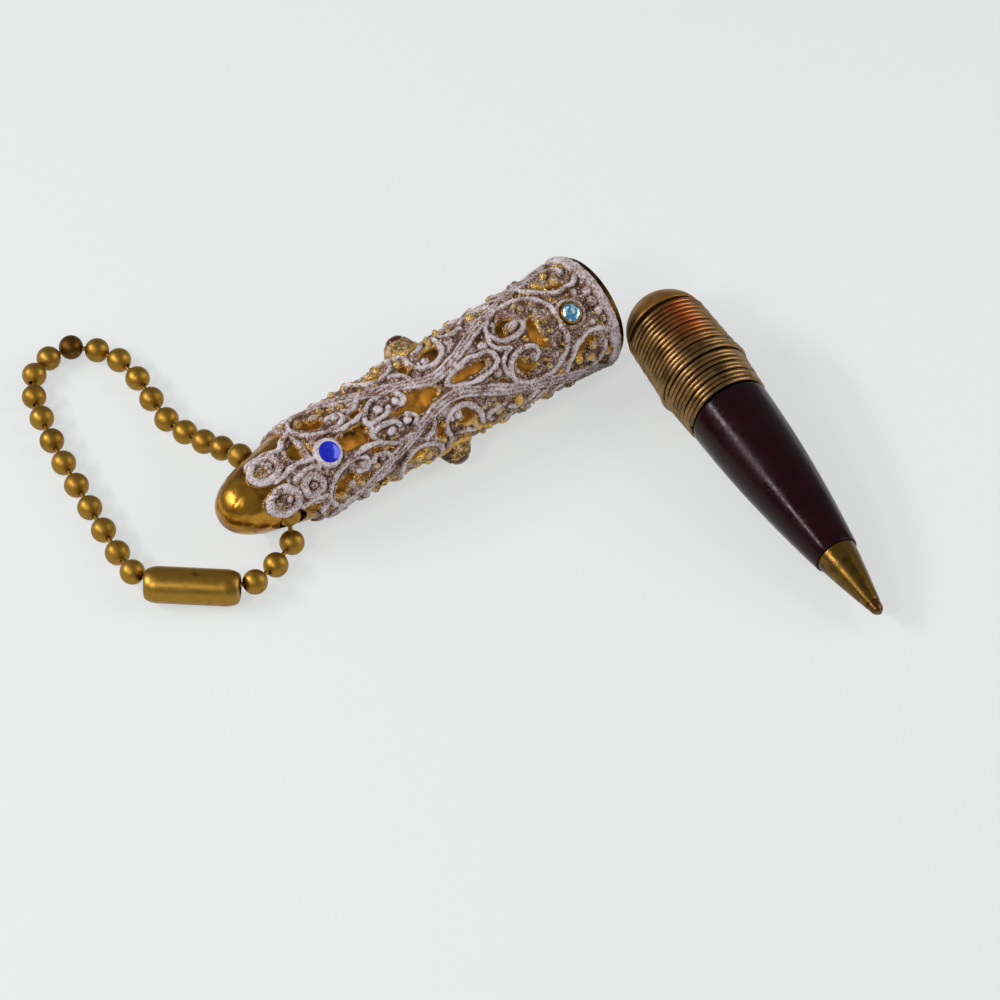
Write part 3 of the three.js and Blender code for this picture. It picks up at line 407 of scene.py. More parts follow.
def wound_bronze(name, bronze, copper, olive):
    """Drawn bronze wire: olive where it has toned, copper where an attribute says, with a fine grain."""
    material, tree, place = start_material(name)
    patches = add(tree, NOISE, {"Vector": place, "Scale": 0.5, "Detail": 6.0, "Roughness": 0.6})
    share = add(tree, RANGE, {"Value": patches, "From Min": 0.42, "From Max": 0.62, "To Max": 0.7})
    toned = add(tree, MIX, {SHARE: share, FIRST: bronze, SECOND: olive}, **COLOURS)
    worn = add(tree, ATTRIBUTE, {}, "Fac", attribute_name="copper")
    mixed = add(tree, MIX, {SHARE: worn, FIRST: toned, SECOND: copper}, **COLOURS)
    grain = add(tree, NOISE, {"Vector": place, "Scale": 5.0, "Detail": 4.0, "Roughness": 0.7})
    rough = add(tree, RANGE, {"Value": grain, "From Min": 0.35, "From Max": 0.7,
                              "To Min": 0.26, "To Max": 0.42})
    bump = add(tree, BUMP, {"Height": grain, "Strength": 0.3, "Distance": 0.03 * MM})
    shader = add(tree, PRINCIPLED, {"Base Color": mixed, "Metallic": 1.0, "Roughness": rough, "Normal": bump})
    add(tree, OUTPUT, {"Surface": shader})
    return material


def foiled_glass(name, tint, painted_flash, roughness, cell_scale, share_top):
    """Coloured glass over foil: a saturated colour with random cells of a paler one painted in as reflections
    of the foil, under a coat.
    """
    material, tree, place = start_material(name)
    cells = add(tree, "ShaderNodeTexVoronoi", {"Vector": place, "Scale": cell_scale}, "Color", feature="F1")
    share = add(tree, RANGE, {"Value": cells, "From Min": 0.45, "From Max": 0.75, "To Max": share_top})
    # Random cells get the paler colour: painted reflections of the foil.
    mixed = add(tree, MIX, {SHARE: share, FIRST: tint, SECOND: painted_flash}, **COLOURS)
    shader = add(tree, PRINCIPLED, {"Base Color": mixed, "Metallic": 0.25, "Roughness": roughness,
                                    "IOR": 1.55, "Coat Weight": 0.6, "Coat Roughness": 0.03})
    add(tree, OUTPUT, {"Surface": shader})
    return material


def moulded_plastic(name, base, roughness):
    """Moulded plastic with faint marks of handling: the colour wavers a little, the gloss breaks up, and an
    attribute says where fingers have dulled it."""
    material, tree, place = start_material(name)
    haze = add(tree, NOISE, {"Vector": place, "Scale": 0.35, "Detail": 4.0})
    shade = add(tree, RANGE, {"Value": haze, "From Min": 0.3, "From Max": 0.7, "To Min": 0.8, "To Max": 1.3})
    tinted = add(tree, MIX, {SHARE: 1.0, FIRST: base, SECOND: shade}, blend_type="MULTIPLY", **COLOURS)
    marks = add(tree, NOISE, {"Vector": place, "Scale": 1.1, "Detail": 7.0, "Roughness": 0.7})
    dulled = add(tree, ATTRIBUTE, {}, "Fac", attribute_name="dulled")
    wear = add(tree, MATHS, {0: dulled, 1: 0.16, 2: marks}, operation="MULTIPLY_ADD")
    rough = add(tree, RANGE, {"Value": wear, "From Min": 0.4, "From Max": 0.62,
                              "To Min": roughness, "To Max": roughness + 0.22})
    bump = add(tree, BUMP, {"Height": marks, "Strength": 0.5, "Distance": 0.03 * MM})
    shader = add(tree, PRINCIPLED, {"Base Color": tinted, "Roughness": rough, "Normal": bump, "IOR": 1.4,
                                    "Specular IOR Level": 0.22, "Specular Tint": linear("f4dce4")})
    add(tree, OUTPUT, {"Surface": shader})
    return material


def bead_brass(name, base, patina, roughness):
    """Satin antiqued brass: a brown patina in patches, and a tone that an attribute gives each bead."""
    material, tree, place = start_material(name)
    tone = add(tree, ATTRIBUTE, {}, "Fac", attribute_name="tone")
    patches = add(tree, NOISE, {"Vector": place, "Scale": 0.9, "Detail": 6.0, "Roughness": 0.65})
    summed = add(tree, MATHS, {0: patches, 1: tone}, operation="ADD")
    share = add(tree, RANGE, {"Value": summed, "From Min": 0.5, "From Max": 0.95, "To Max": 0.85})
    mixed = add(tree, MIX, {SHARE: share, FIRST: base, SECOND: patina}, **COLOURS)
    rough = add(tree, RANGE, {"Value": patches, "From Min": 0.3, "From Max": 0.7,
                              "To Min": roughness - 0.06, "To Max": roughness + 0.14})
    grain = add(tree, NOISE, {"Vector": place, "Scale": 6.0, "Detail": 3.0})
    bump = add(tree, BUMP, {"Height": grain, "Strength": 0.3, "Distance": 0.03 * MM})
    shader = add(tree, PRINCIPLED, {"Base Color": mixed, "Metallic": 1.0, "Roughness": rough, "Normal": bump})
    add(tree, OUTPUT, {"Surface": shader})
    return material


# Capsule: distances are from the mouth, angles are degrees round from the pattern's middle line

CAPSULE_LENGTH = 59.3
LIP_LENGTH = 0.75
SLEEVE_END = 47.9
SLEEVE_MOUTH_R = 7.8
SLEEVE_END_R = 6.7
SLEEVE_DEPTH = 0.85
NOSE_R = 3.5
NOSE_LENGTH = 6.5
NOSE_BLUNTNESS = 2.5
HOLE_R = 1.85
# How far round from level the pattern's middle line is, and the radii at which the pattern lies flat
PATTERN_ELEVATION = 55.0
PATTERN_R = 7.2
SHOULDER_R = 6.0


def shell_radius(distance):
    """Outer radius of the shell: a straight taper, then a flared dome whose nose is a superellipse."""
    distance = np.asarray(distance, float)
    taper = SLEEVE_MOUTH_R + (SLEEVE_END_R - SLEEVE_MOUTH_R) * distance / SLEEVE_END - SLEEVE_DEPTH
    from_apex = np.clip(CAPSULE_LENGTH - distance, 0, None)
    flare = (SLEEVE_END_R - SLEEVE_DEPTH - NOSE_R) / (CAPSULE_LENGTH - SLEEVE_END)
    along = np.clip(from_apex / NOSE_LENGTH, 0, 1)
    nose = NOSE_R * (1 - (1 - along) ** NOSE_BLUNTNESS) ** (1 / NOSE_BLUNTNESS) + flare * from_apex
    return np.where(distance <= SLEEVE_END, taper, nose)


def on_sleeve(distance, degrees, height):
    """Points at a height above the shell, where the pattern's middle line faces up and to the near side."""
    angle = np.radians(180 - PATTERN_ELEVATION - np.asarray(degrees, float))
    radius = shell_radius(distance) + height
    side = np.sign(CAPSULE.side @ np.array([0, 1, 0]))
    return CAPSULE.place(distance, side * radius * np.cos(angle), radius * np.sin(angle))


def outward_axes(distance, degrees):
    """Axes whose along points out of the sleeve at a place of the pattern, with the origin on the shell."""
    foot = on_sleeve(distance, degrees, 0.0)
    return Axes(foot, foot - CAPSULE.place(distance, 0.0, 0.0), MOUTH_AXIS)


def across_holes(points):
    """How far points are to the side of the line through the two chain holes, and how far above it."""
    return (points - HOLES.origin) @ HOLES.side, (points - HOLES.origin) @ HOLES.rise


def drilled(points, faces):
    """Cuts the two chain holes: faces inside the drill go, and points round them move onto its circle."""
    side, rise = across_holes(points)
    away = np.hypot(side, rise)
    gone = away[faces].mean(axis=1) < HOLE_R
    rim = np.intersect1d(faces[~gone], faces[gone])
    stretch = (HOLE_R / away[rim] - 1)[:, None]
    points[rim] += stretch * (side[rim, None] * HOLES.side + rise[rim, None] * HOLES.rise)
    return points, faces[~gone]


class CAPSULEPEN_OT_shell(bpy.types.Operator):
    """Builds the brass shell with its lip, its dome and the chain holes"""
    bl_idname = "capsulepen.shell"
    bl_label = "Capsule shell"

    def execute(self, context):
        settings = context.scene.capsule_settings
        lip, wall = settings.lip_radius / MM, settings.wall / MM
        # Over its last six millimetres, the nose has rings that crowd towards the apex.
        crowded = 6
        nose = CAPSULE_LENGTH - crowded * (1 - np.sin(np.linspace(0, np.pi / 2, 40)[1:-1]))
        shoulder = np.linspace(SLEEVE_END - 0.6, CAPSULE_LENGTH - crowded, 36)
        along = np.concatenate([[LIP_LENGTH, 2, 12, 24, 36, 46], shoulder, nose])
        step = [shell_radius(LIP_LENGTH), LIP_LENGTH]
        lip_line = rounded([[lip - 0.3, 0.0], [lip, 0.0], [lip, LIP_LENGTH - 0.05], step], 0.18)
        profile = np.vstack([lip_line, np.stack([shell_radius(along), along], -1), [0, CAPSULE_LENGTH]])
        # Inside, the wall goes on straight behind the lip, and it ends on the axis under the apex.
        radius = np.maximum(profile[:, 0] - wall, 0.02)
        radius[:len(lip_line) - 2] = shell_radius(0.0) - wall
        radius[-1] = 0
        hollow = np.stack([radius, np.minimum(profile[:, 1], CAPSULE_LENGTH - wall)], -1)
        segments = 240
        outer, (rings, apex) = turned(CAPSULE, profile, segments)
        inner, _ = turned(CAPSULE, hollow, segments)
        outer, drilled_rings = drilled(outer, rings)
        inner, _ = drilled(inner, rings)
        points, faces, _ = closed_sheet(outer, inner, drilled_rings, apex)
        # Bare brass under old lacquer: glossy gold, with dark brown where the lacquer has gone
        brass = aged_metal("lacquered_brass", settings.brass, linear("54280f"), 0.15, 2.3, 0.01, 0.9,
                           dent=0.2)
        shell = make_piece("shell", points, faces, "capsule", "polished_brass", brass, sharp=50)
        # Brass that is dull and dark on the lip's face, with brown patches
        black = aged_metal("dark_lip_brass", linear("2a1d12"), linear("a87428"), 0.35, 2.2, 0.03, 0.5)
        # Brass that has toned under the openwork and inside: amber and olive, and dented
        toned = aged_metal("toned_brass_ground", linear("b4762a"), linear("342a12"), 0.26, 2.4, 0.2, 1.0,
                           dent=0.35)
        shell.data.materials.append(black)
        shell.data.materials.append(toned)
        middles = np.empty(3 * len(shell.data.polygons), np.float32)
        shell.data.polygons.foreach_get("center", middles)
        from_mouth = (middles.reshape(-1, 3) / MM - CAPSULE.origin) @ CAPSULE.along
        under = (from_mouth > 1) & (from_mouth < SLEEVE_END)
        slots = np.where(from_mouth < LIP_LENGTH + 0.01, 1, 2 * under)
        shell.data.polygons.foreach_set("material_index", slots.astype(np.int32))
        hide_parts("capsule_shell")
        return {"FINISHED"}


# The filigree on one side of the middle line, as places (distance, degrees). The other side mirrors it.
STRANDS = [
    [(2.0, 35), (3.4, 28), (5.0, 25.5), (6.8, 29), (8.3, 39), (9.3, 50), (9.9, 62), (10.4, 72)],
    [(9.0, 74), (7.0, 72), (5.0, 66), (3.6, 57), (3.4, 48)],
    [(8.4, 7), (8.2, 16), (8.8, 27), (10, 38), (12.2, 46), (14.8, 45), (16.8, 37), (17.7, 27), (17.3, 17),
     (16.3, 10), (14.8, 7.5), (13.4, 10), (12.9, 17), (13.6, 22)],
    [(17.9, 24), (18.2, 12), (17.4, 5), (16.2, 0)],
    [(19.4, 10), (21.4, 12), (23.4, 11), (25.3, 7), (26.2, 0)],
    [(19.4, 10), (18.7, 5), (18.6, 0)],
    [(9.8, 66), (11.4, 76), (11.6, 92)],
    [(14.2, 60), (15.6, 66), (17.6, 66), (18.8, 60)],
    [(17.6, 66), (18.6, 78), (18.6, 92)],
    [(19.6, 52), (21.4, 52), (22.3, 58), (21.4, 64)],
    [(22.9, 62), (23.2, 50), (23.8, 38), (25.1, 29), (27, 27), (28.3, 35), (28.5, 46), (28, 58), (28.4, 73)],
    [(27, 27), (28, 31), (27.6, 36)],
    [(24.5, 66), (25.6, 60), (26.6, 57)],
    [(31, 92), (29.4, 78), (29.7, 66), (30.9, 53), (33, 47), (35, 54), (35.7, 68), (35.6, 92)],
    [(38.2, 0), (38.5, 10), (37.7, 20), (35.8, 27), (33.6, 27), (32.4, 22)],
    [(38.4, 6), (37.2, 3), (35.4, 5), (34.7, 11)],
    [(33, 6), (32.2, 12), (32.6, 20)],
    [(37.9, 18), (40, 16), (42.2, 17), (43.4, 21)],
    [(41.8, 20), (40.6, 27), (40.8, 35), (42.2, 36)],
    [(41.8, 20), (44, 23), (45.9, 31), (46.8, 42), (46.9, 54), (46, 66)],
    [(36.8, 42), (37.6, 35), (39, 30), (39.9, 34)],
    [(39.6, 54), (41, 74), (40.8, 92)],
    [(30.2, 22), (30.4, 34), (31.8, 42)],
    [(12.4, 50), (12.4, 60), (14, 68), (15.6, 76), (15.4, 92)],
    [(45.4, 70), (44.2, 80), (44.2, 92)],
]
RIBBONS = [
    [(2.6, 90), (5, 75), (9.6, 63), (13.4, 52), (17.2, 42), (20.4, 31), (23.2, 21), (25.6, 14.5),
     (27.6, 13.5), (30, 19), (33.4, 29.5), (36.4, 39), (39, 51), (41.4, 63), (44.4, 75), (46.2, 91)],
]
# Round knobs: distance, degrees, radius, and how much of the wash is left on them
KNOBS = [
    (2.7, 11.5, 0.85, 0.75), (2.4, 21, 0.7, 0.6), (2.9, 1, 0.75, 0.7), (4.4, 17.5, 0.65, 0.55),
    (5.1, 42, 0.75, 0.25), (7.4, 49, 0.8, 0.05), (2.9, 58, 0.8, 0.05), (5.4, 56, 0.7, 0.2),
    (13.9, 19, 0.8, 0.75), (11.8, 31, 0.5, 0.4), (10.4, 20, 0.5, 0.5), (10.2, 6, 0.5, 0.3),
    (12.2, 38, 0.55, 0.3), (19.3, 16, 0.8, 0.9), (17.2, 61, 0.85, 0.0), (20.6, 57, 0.75, 0.3),
    (23.6, 66, 0.8, 0.05), (26.7, 34, 0.8, 0.85), (24.2, 58, 0.55, 0.1), (33.4, 12, 0.75, 1.0),
    (36, 13.5, 0.8, 1.0), (38.5, 34, 0.75, 0.8), (41.3, 32, 0.75, 0.8), (33.1, 62, 0.8, 0.0),
    (31.6, 70, 0.7, 0.0), (29, 38, 0.5, 0.1), (29.4, 56, 0.6, 0.1), (43.4, 48, 0.75, 0.4),
    (45, 57, 0.65, 0.3), (42, 54, 0.6, 0.2), (39.6, 41, 0.6, 0.2), (8, 84, 0.7, 0.5), (3.9, 92, 0.7, 0.5),
    (11.6, 88, 0.7, 0.3), (15.4, 84, 0.6, 0.3), (18.6, 88, 0.75, 0.0), (31, 90, 0.75, 0.1),
    (35.6, 90, 0.75, 0.1), (38.4, 76, 0.65, 0.2), (40.8, 90, 0.7, 0.3), (45.4, 90, 0.7, 0.4),
    (21.6, 78, 0.6, 0.2), (16.9, 0, 0.45, 0.6), (13.6, 2, 0.4, 0.2),
]
# Windows through the casting, as the corners of smooth closed curves: across the middle line, and beside it
WINDOWS = [
    [(20.1, 3), (21.5, 5.5), (24, 5), (25, 0), (24.6, -4), (22, -4.5), (20.4, -3)],
    [(28, 4), (29.2, 8.5), (31, 13), (32.2, 10), (33, 4), (34.6, 2), (34.6, -2), (33, -4), (32.2, -10),
     (31, -13), (29.2, -8.5), (28, -4)],
    [(38.7, 9), (42.2, 10), (42.8, 0), (42.2, -10), (38.7, -9), (39.2, 0)],
    [(11, 16), (12, 17), (12.5, 10), (12.9, 0), (12.5, -10), (12, -17), (11, -16), (11.5, 0)],
]
SIDE_WINDOWS = [
    [(13.6, 28), (14.8, 34), (16, 29), (16.4, 20), (15.6, 13.5), (15, 25)],
    [(4.7, 34), (6, 33), (7.5, 40), (7.8, 44), (6.4, 43), (5, 38)],
    [(23.8, 50), (24.1, 38), (25.2, 32.5), (26, 35), (25.7, 43), (26.8, 46), (25.4, 54)],
    [(28.9, 42), (29.3, 33), (30, 45), (29.5, 52), (28.8, 52)],
    [(42.6, 40), (43.8, 33), (45.4, 40), (45.7, 52), (44.6, 56), (43, 43)],
    [(32, 57), (33, 52), (34.2, 58), (34.6, 68), (33.8, 68)],
    [(10.4, 53), (11.6, 57), (11.6, 64), (10.8, 62)],
    [(18.9, 33), (17.9, 38), (18.4, 31), (19, 25), (19.4, 26)],
    [(39.4, 27), (38, 31), (38.2, 25), (39.4, 21.5)],
    [(36, 32.5), (37, 31.5), (37.3, 34), (36.2, 37), (35.4, 34)],
    [(40.4, 46), (42, 46), (42, 50), (40.8, 51)],
    [(24.4, 22), (25.8, 15), (26.5, 18), (25.7, 23)],
]
# Seats of the stones: distance, degrees, radius, their ring's width, and how much wash is on it
STONE_SEATS = [(6.5, 0.0, 1.5, 0.6, 0.45), (45.0, 0.0, 1.74, 0.2, 0.9), (26.6, 86.0, 1.85, 0.7, 0.0)]
# Ringed lobes over the shoulder: distance, degrees, radius, and how far the knob sits from the middle
LOBES = [(48.6, -24, 1.2, 0.0), (52.7, -28, 1.85, -0.75), (52.8, 25, 1.85, -0.6)]
LOBE_WINDOWS = [
    [(53.1, -38), (53.8, -30), (53.6, -20), (53, -24)],
    [(53.5, 17), (54, 26), (53.4, 35), (53.2, 28)],
    [(46.9, 9), (49, 13), (49.4, 24), (48.4, 34), (47.2, 33), (46.8, 20)],
    [(48.2, -66), (50.4, -62), (50.2, -53), (48.6, -51), (47.9, -57)],
]
LOBE_STRANDS = [
    [(54.2, 47), (51.6, 43), (49.9, 36), (48.6, 43), (47.2, 49)],
    [(47.2, 4), (49.2, 6.5), (50.8, 5), (52.6, 1)],
    [(47, -9), (48.4, -5), (50.2, -8)],
    [(47, -44), (49, -41), (50.6, -44)],
    [(47.6, -72), (48, -62), (47.2, -52)],
]


# What stands for far away from a curve, and for the height of an opening, well below the shell
FAR = 9.0
OPEN = -0.6
# Where the relief starts and ends along the capsule
RELIEF_START, RELIEF_END = 1.0, 55.6


def closed_curve(corners):
    """A smooth curve round through corners and back to its start."""
    loop = catmull_rom(np.vstack([corners[-1:], corners, corners[:2]]), 6)
    return np.vstack([loop, loop[:1]])


def inside(u, v, loop):
    """Whether points lie inside a closed polyline: a line from them crosses an odd number of its edges."""
    crossings = np.zeros(u.shape, int)
    for (u0, v0), (u1, v1) in zip(loop, loop[1:]):
        if v0 != v1:
            crossings += ((v0 <= v) != (v1 <= v)) & (u < u0 + (v - v0) * (u1 - u0) / (v1 - v0))
    return crossings % 2 == 1


def distance_to_curve(u, v, curve):
    """The distance of grid points near a polyline to its nearest piece, in blocks to save memory."""
    a, b = curve[:-1], curve[1:]
    step = b - a
    size = np.maximum((step ** 2).sum(-1), 1e-12)
    best = np.full(u.shape, FAR)
    reach, block = 1.6, 20000
    near = ((u > curve[:, 0].min() - reach) & (u < curve[:, 0].max() + reach)
            & (v > curve[:, 1].min() - reach) & (v < curve[:, 1].max() + reach))
    points = np.stack([u[near], v[near]], -1)
    least = np.full(len(points), FAR)
    for start in range(0, len(points), block):
        some = points[start:start + block, None]
        t = np.clip(((some - a) * step).sum(-1) / size, 0, 1)
        gap = some - (a + t[..., None] * step)
        least[start:start + block] = np.sqrt((gap ** 2).sum(-1).min(1))
    best[near] = least
    return best


def distance_to_strand(u, v, points, radius, mirror=1):
    """The distance of grid points to a smooth curve through places of the pattern."""
    knots = flat(points, radius, mirror)
    return distance_to_curve(u, v, np.vstack([catmull_rom(with_ends(knots), 8), knots[-1:]]))


def round_top(distance, half_width, height):
    """Height of a round-topped strand: a superellipse across it, and far below the shell beside it."""
    share = np.clip(distance / half_width, 0, 1)
    return np.where(share < 1, height * (1 - share ** 2.4) ** (1 / 2.4), OPEN)


def triple_top(distance, width, height):
    """Height across a ribbon of three strands that lie side by side, the middle one a little proud."""
    third = width / 6
    middle = round_top(distance, third * 1.08, height * 1.06)
    outer = round_top(np.abs(distance - 2 * third), third * 1.1, height)
    bed = np.where(distance < width / 2 - 0.1, height * 0.88, OPEN)
    return np.maximum(np.maximum(middle, outer), bed)


def lumps(shape, spacing, size, seed):
    """Smooth random lumps of a size in millimetres: random values on a coarse grid, joined by cosines."""
    rng = np.random.default_rng(seed)
    rows, columns = (int(n * spacing / size) + 3 for n in shape)
    coarse = rng.uniform(-1, 1, (rows, columns))
    i = np.arange(shape[0])[:, None] * spacing / size
    j = np.arange(shape[1])[None, :] * spacing / size
    i0, j0 = i.astype(int), j.astype(int)
    s, t = ((1 - np.cos(np.pi * (k - k0))) / 2 for k, k0 in ((i, i0), (j, j0)))
    top = coarse[i0, j0] * (1 - t) + coarse[i0, j0 + 1] * t
    bottom = coarse[i0 + 1, j0] * (1 - t) + coarse[i0 + 1, j0 + 1] * t
    return top * (1 - s) + bottom * s


class Relief:
    """Height and wash over a grid; each thing laid on it shows where it stands highest."""

    def __init__(self, distance, degrees):
        self.distance = distance
        self.degrees = degrees
        self.height = np.full(distance.shape, OPEN)
        self.wash = np.zeros(distance.shape)

    def lay(self, height, wash, part=...):
        """Lays a thing on the grid, or on a part of it, wherever it is higher than what is there."""
        higher = height > self.height[part]
        self.height[part] = np.where(higher, height, self.height[part])
        self.wash[part] = np.where(higher, wash, self.wash[part])

    def across(self, radius):
        """How far round the grid's points are, measured in millimetres at a radius."""
        return np.radians(self.degrees) * radius


def flat(points, radius, mirror=1):
    """Places of the pattern as flat millimetres, the second coordinate measured round at a radius."""
    return np.array(points, float)[:, :2] * (1, mirror * np.radians(1) * radius)


def local_mean(height, reach):
    """The mean height over a square of points round each: differences of a running sum along both ways."""
    for axis in (0, 1):
        rows = np.moveaxis(height, axis, 0)
        padded = np.concatenate([np.repeat(rows[:1], reach + 1, 0), rows, np.repeat(rows[-1:], reach, 0)])
        total = np.cumsum(padded, axis=0)
        height = np.moveaxis((total[2 * reach + 1:] - total[:-2 * reach - 1]) / (2 * reach + 1), 0, axis)
    return height


def lay_bed(relief, spacing):
    """Lays the cast ground: granular, and open in the windows, whose edges fall away over a third of a
    millimetre. Gilding shows round the windows and on the sides, and over the shoulder the ground ends with
    its ringed lobes."""
    gap = np.full(relief.height.shape, FAR)
    for windows, radius, mirrors in ((WINDOWS, PATTERN_R, (1,)), (SIDE_WINDOWS, PATTERN_R, (1, -1)),
                                     (LOBE_WINDOWS, SHOULDER_R, (1,))):
        v = relief.across(radius)
        for corners, mirror in itertools.product(windows, mirrors):
            loop = closed_curve(flat(corners, radius, mirror))
            edge = distance_to_curve(relief.distance, v, loop)
            gap = np.minimum(gap, np.where(inside(relief.distance, v, loop), -edge, edge))
    grains = 0.12 * lumps(gap.shape, spacing, 0.5, 21) + 0.08 * lumps(gap.shape, spacing, 0.26, 22)
    swell = 0.1 * lumps(gap.shape, spacing, 1.6, 23)
    past = relief.distance - SLEEVE_END
    behind = relief.distance > SLEEVE_END - 0.2
    covered = (relief.degrees < 46 - 3 * past) & (relief.degrees > -78 + 9 * past) & (relief.distance < 51.2)
    v = relief.across(SHOULDER_R)
    for distance, degrees, radius, _ in LOBES:
        covered |= np.hypot(relief.distance - distance, v - np.radians(degrees) * SHOULDER_R) < radius
    ground = np.where(behind & ~covered, OPEN, 0.36 + grains + swell)
    wash = 0.86 - 0.5 * np.clip(1 - gap / 0.7, 0, 1) - 0.3 * np.clip(np.abs(relief.degrees) / 40 - 1, 0, 1)
    wash = np.where(behind, 0.95, wash + 0.22 * lumps(gap.shape, spacing, 3.0, 25))
    relief.lay(np.where(gap > 0, ground * np.clip(gap / 0.3 + 0.35, 0, 1), OPEN), wash)


def granulation(relief, spacing, count, seed):
    """Small cast balls strewn over the ground, each laid on the few grid points round it."""
    rng = np.random.default_rng(seed)
    rows, columns = relief.height.shape
    across = relief.across(PATTERN_R)
    for _ in range(count):
        i, j = rng.integers(0, rows), rng.integers(0, columns)
        radius, rise = rng.uniform(0.18, 0.36), rng.uniform(0.42, 0.66)
        wash = rng.choice([0.0, 0.3, 0.6, 0.9])
        # The ground lies between these heights; lower are windows, and higher are balls laid before.
        if not 0.1 < relief.height[i, j] <= 0.6:
            continue
        reach = int(radius / spacing) + 2
        part = (slice(max(i - reach, 0), i + reach), slice(max(j - reach, 0), j + reach))
        away = np.hypot(relief.distance[part] - relief.distance[i, j], across[part] - across[i, j])
        relief.lay(round_top(away, radius, rise), wash, part)


def wavering(relief, radius, spacing):
    """The grid's flat places, shifted a little by smooth random amounts, as strands laid by hand waver."""
    shape = relief.height.shape
    return (relief.distance + 0.15 * lumps(shape, spacing, 1.3, 31),
            relief.across(radius) + 0.15 * lumps(shape, spacing, 1.3, 32))


def lay_sleeve(relief, settings):
    """Lays the strands, ribbons and knobs of both sides of the middle line, and the hoop at the mouth."""
    spacing = settings.grid_spacing / MM
    ribbon = settings.ribbon_width / MM
    top = settings.filigree_height / MM
    knob_top = settings.knob_height / MM - 0.15
    u, v = wavering(relief, PATTERN_R, spacing)
    strand = settings.strand_width / MM / 2 * (1 + 0.14 * lumps(u.shape, spacing, 0.9, 33))
    for mirror in (1, -1):
        for points in STRANDS:
            relief.lay(round_top(distance_to_strand(u, v, points, PATTERN_R, mirror), strand, top), 1.0)
        for points in RIBBONS:
            relief.lay(triple_top(distance_to_strand(u, v, points, PATTERN_R, mirror), ribbon, top), 0.93)
        for distance, degrees, radius, wash in KNOBS:
            middle = flat([(distance, degrees)], PATTERN_R, mirror)[0]
            away = np.hypot(u - middle[0], v - middle[1])
            relief.lay(round_top(away, radius * 0.9, knob_top), wash)
    relief.lay(round_top(np.abs(relief.distance - 1.55), 0.95, top + 0.2), 1.0)


def lay_shoulder(relief, settings):
    """Lays the rear hoop, and the ringed lobes and strands over the shoulder, where the shell is slimmer."""
    top = settings.filigree_height / MM
    u, v = wavering(relief, SHOULDER_R, settings.grid_spacing / MM)
    relief.lay(round_top(np.abs(u - SLEEVE_END + 0.5), 0.5, top - 0.25), 0.9)
    for distance, degrees, radius, shift in LOBES:
        side = v - np.radians(degrees) * SHOULDER_R
        away = np.hypot(u - distance, side)
        relief.lay(round_top(np.abs(away - radius), 0.62, top), 1.0)
        relief.lay(np.where(away < radius, 0.3, OPEN), 0.6)
        relief.lay(round_top(np.hypot(u - distance - shift, side), 0.62, top), 0.8)
        relief.lay(round_top(np.hypot(u - distance - shift - 0.3, side + 0.7), 0.4, top - 0.2), 0.7)
    for points in LOBE_STRANDS:
        relief.lay(round_top(distance_to_strand(u, v, points, SHOULDER_R), 0.43, top), 1.0)


def seat_stones(relief, settings):
    """Opens the stones' seats, each inside a raised ring, and those of their twins half a turn round."""
    local = shell_radius(relief.distance) + 0.5
    top = settings.filigree_height / MM + 0.05
    for distance, degrees, radius, width, wash in STONE_SEATS:
        for middle in (degrees, degrees - 180):
            away = np.hypot(relief.distance - distance, np.radians(relief.degrees - middle) * local)
            relief.lay(round_top(np.abs(away - radius - width / 2), width * 0.62, top), wash)
            relief.height[away < radius - 0.05] = OPEN


class CAPSULEPEN_OT_filigree(bpy.types.Operator):
    """Builds the openwork sleeve as a cast relief wrapped round the shell, in four pieces"""
    bl_idname = "capsulepen.filigree"
    bl_label = "Filigree sleeve"

    def execute(self, context):
        settings = context.scene.capsule_settings
        spacing = settings.grid_spacing / MM
        along = np.arange(RELIEF_START, RELIEF_END, spacing)
        around = np.linspace(-90, 90, int(np.pi * PATTERN_R / spacing))
        relief = Relief(*np.meshgrid(along, around, indexing="ij"))
        lay_bed(relief, spacing)
        granulation(relief, spacing, count=1200, seed=24)
        lay_sleeve(relief, settings)
        lay_shoulder(relief, settings)
        seat_stones(relief, settings)
        # The casting's skin is rough, and the wash goes by how far a place stands above its surroundings. The
        # same measure paints shade, with grime, into the low places beside the strands, and paints the wash
        # lighter on the tops as highlight.
        shape = relief.height.shape
        grain = 0.06 * lumps(shape, spacing, 0.5, 3) + 0.055 * lumps(shape, spacing, 0.27, 4)
        height = relief.height + np.clip(relief.height / 0.5, 0, 1) * grain
        stand = height - local_mean(np.maximum(height, 0.0), 3)
        share = np.clip(0.52 + 1.3 * stand + 0.35 * (height - 0.5), 0, 1)
        # Gilded casting under a pale enamel wash: chalky mauve tops over brown, with specks of gold. The tops
        # are painted lighter as highlight, and the low places darker with grime and painted shade.
        metal = washed_casting("washed_casting", settings.wash, settings.gilt, settings.patina)
        half = len(along) // 2
        for side, turn in (("front", 0), ("back", 180)):
            for end, rows in (("mouth", slice(0, half + 1)), ("dome", slice(half, None))):
                u, degrees = relief.distance[rows], relief.degrees[rows] + turn
                from_holes = np.hypot(*across_holes(on_sleeve(u, degrees, 0.0)))
                h = np.where(from_holes < HOLE_R + 0.1, OPEN, height[rows])
                outer = on_sleeve(u, degrees, np.maximum(h, 0.0)).reshape(-1, 3)
                outer[:, 2] = np.maximum(outer[:, 2], 0.0)
                inner = on_sleeve(u, degrees, np.full(h.shape, -0.06)).reshape(-1, 3)
                faces = quads(*h.shape, wrap_columns=False)
                faces = faces[h.ravel()[faces].max(axis=1) > 0.1]
                points, closed, used = closed_sheet(outer, inner, faces)
                name = f"filigree_{side}_{end}"
                piece = make_piece(name, points, closed, "capsule", "white_wash", metal, sharp=75)
                for key, values in (("relief", share[rows]), ("wash", relief.wash[rows])):
                    give(piece, key, np.tile(values.ravel(), 2)[used])
                if name == "filigree_front_mouth":
                    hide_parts("filigree_sleeve", "filigree_rim_band", "filigree_shoulder_collar")
        return {"FINISHED"}


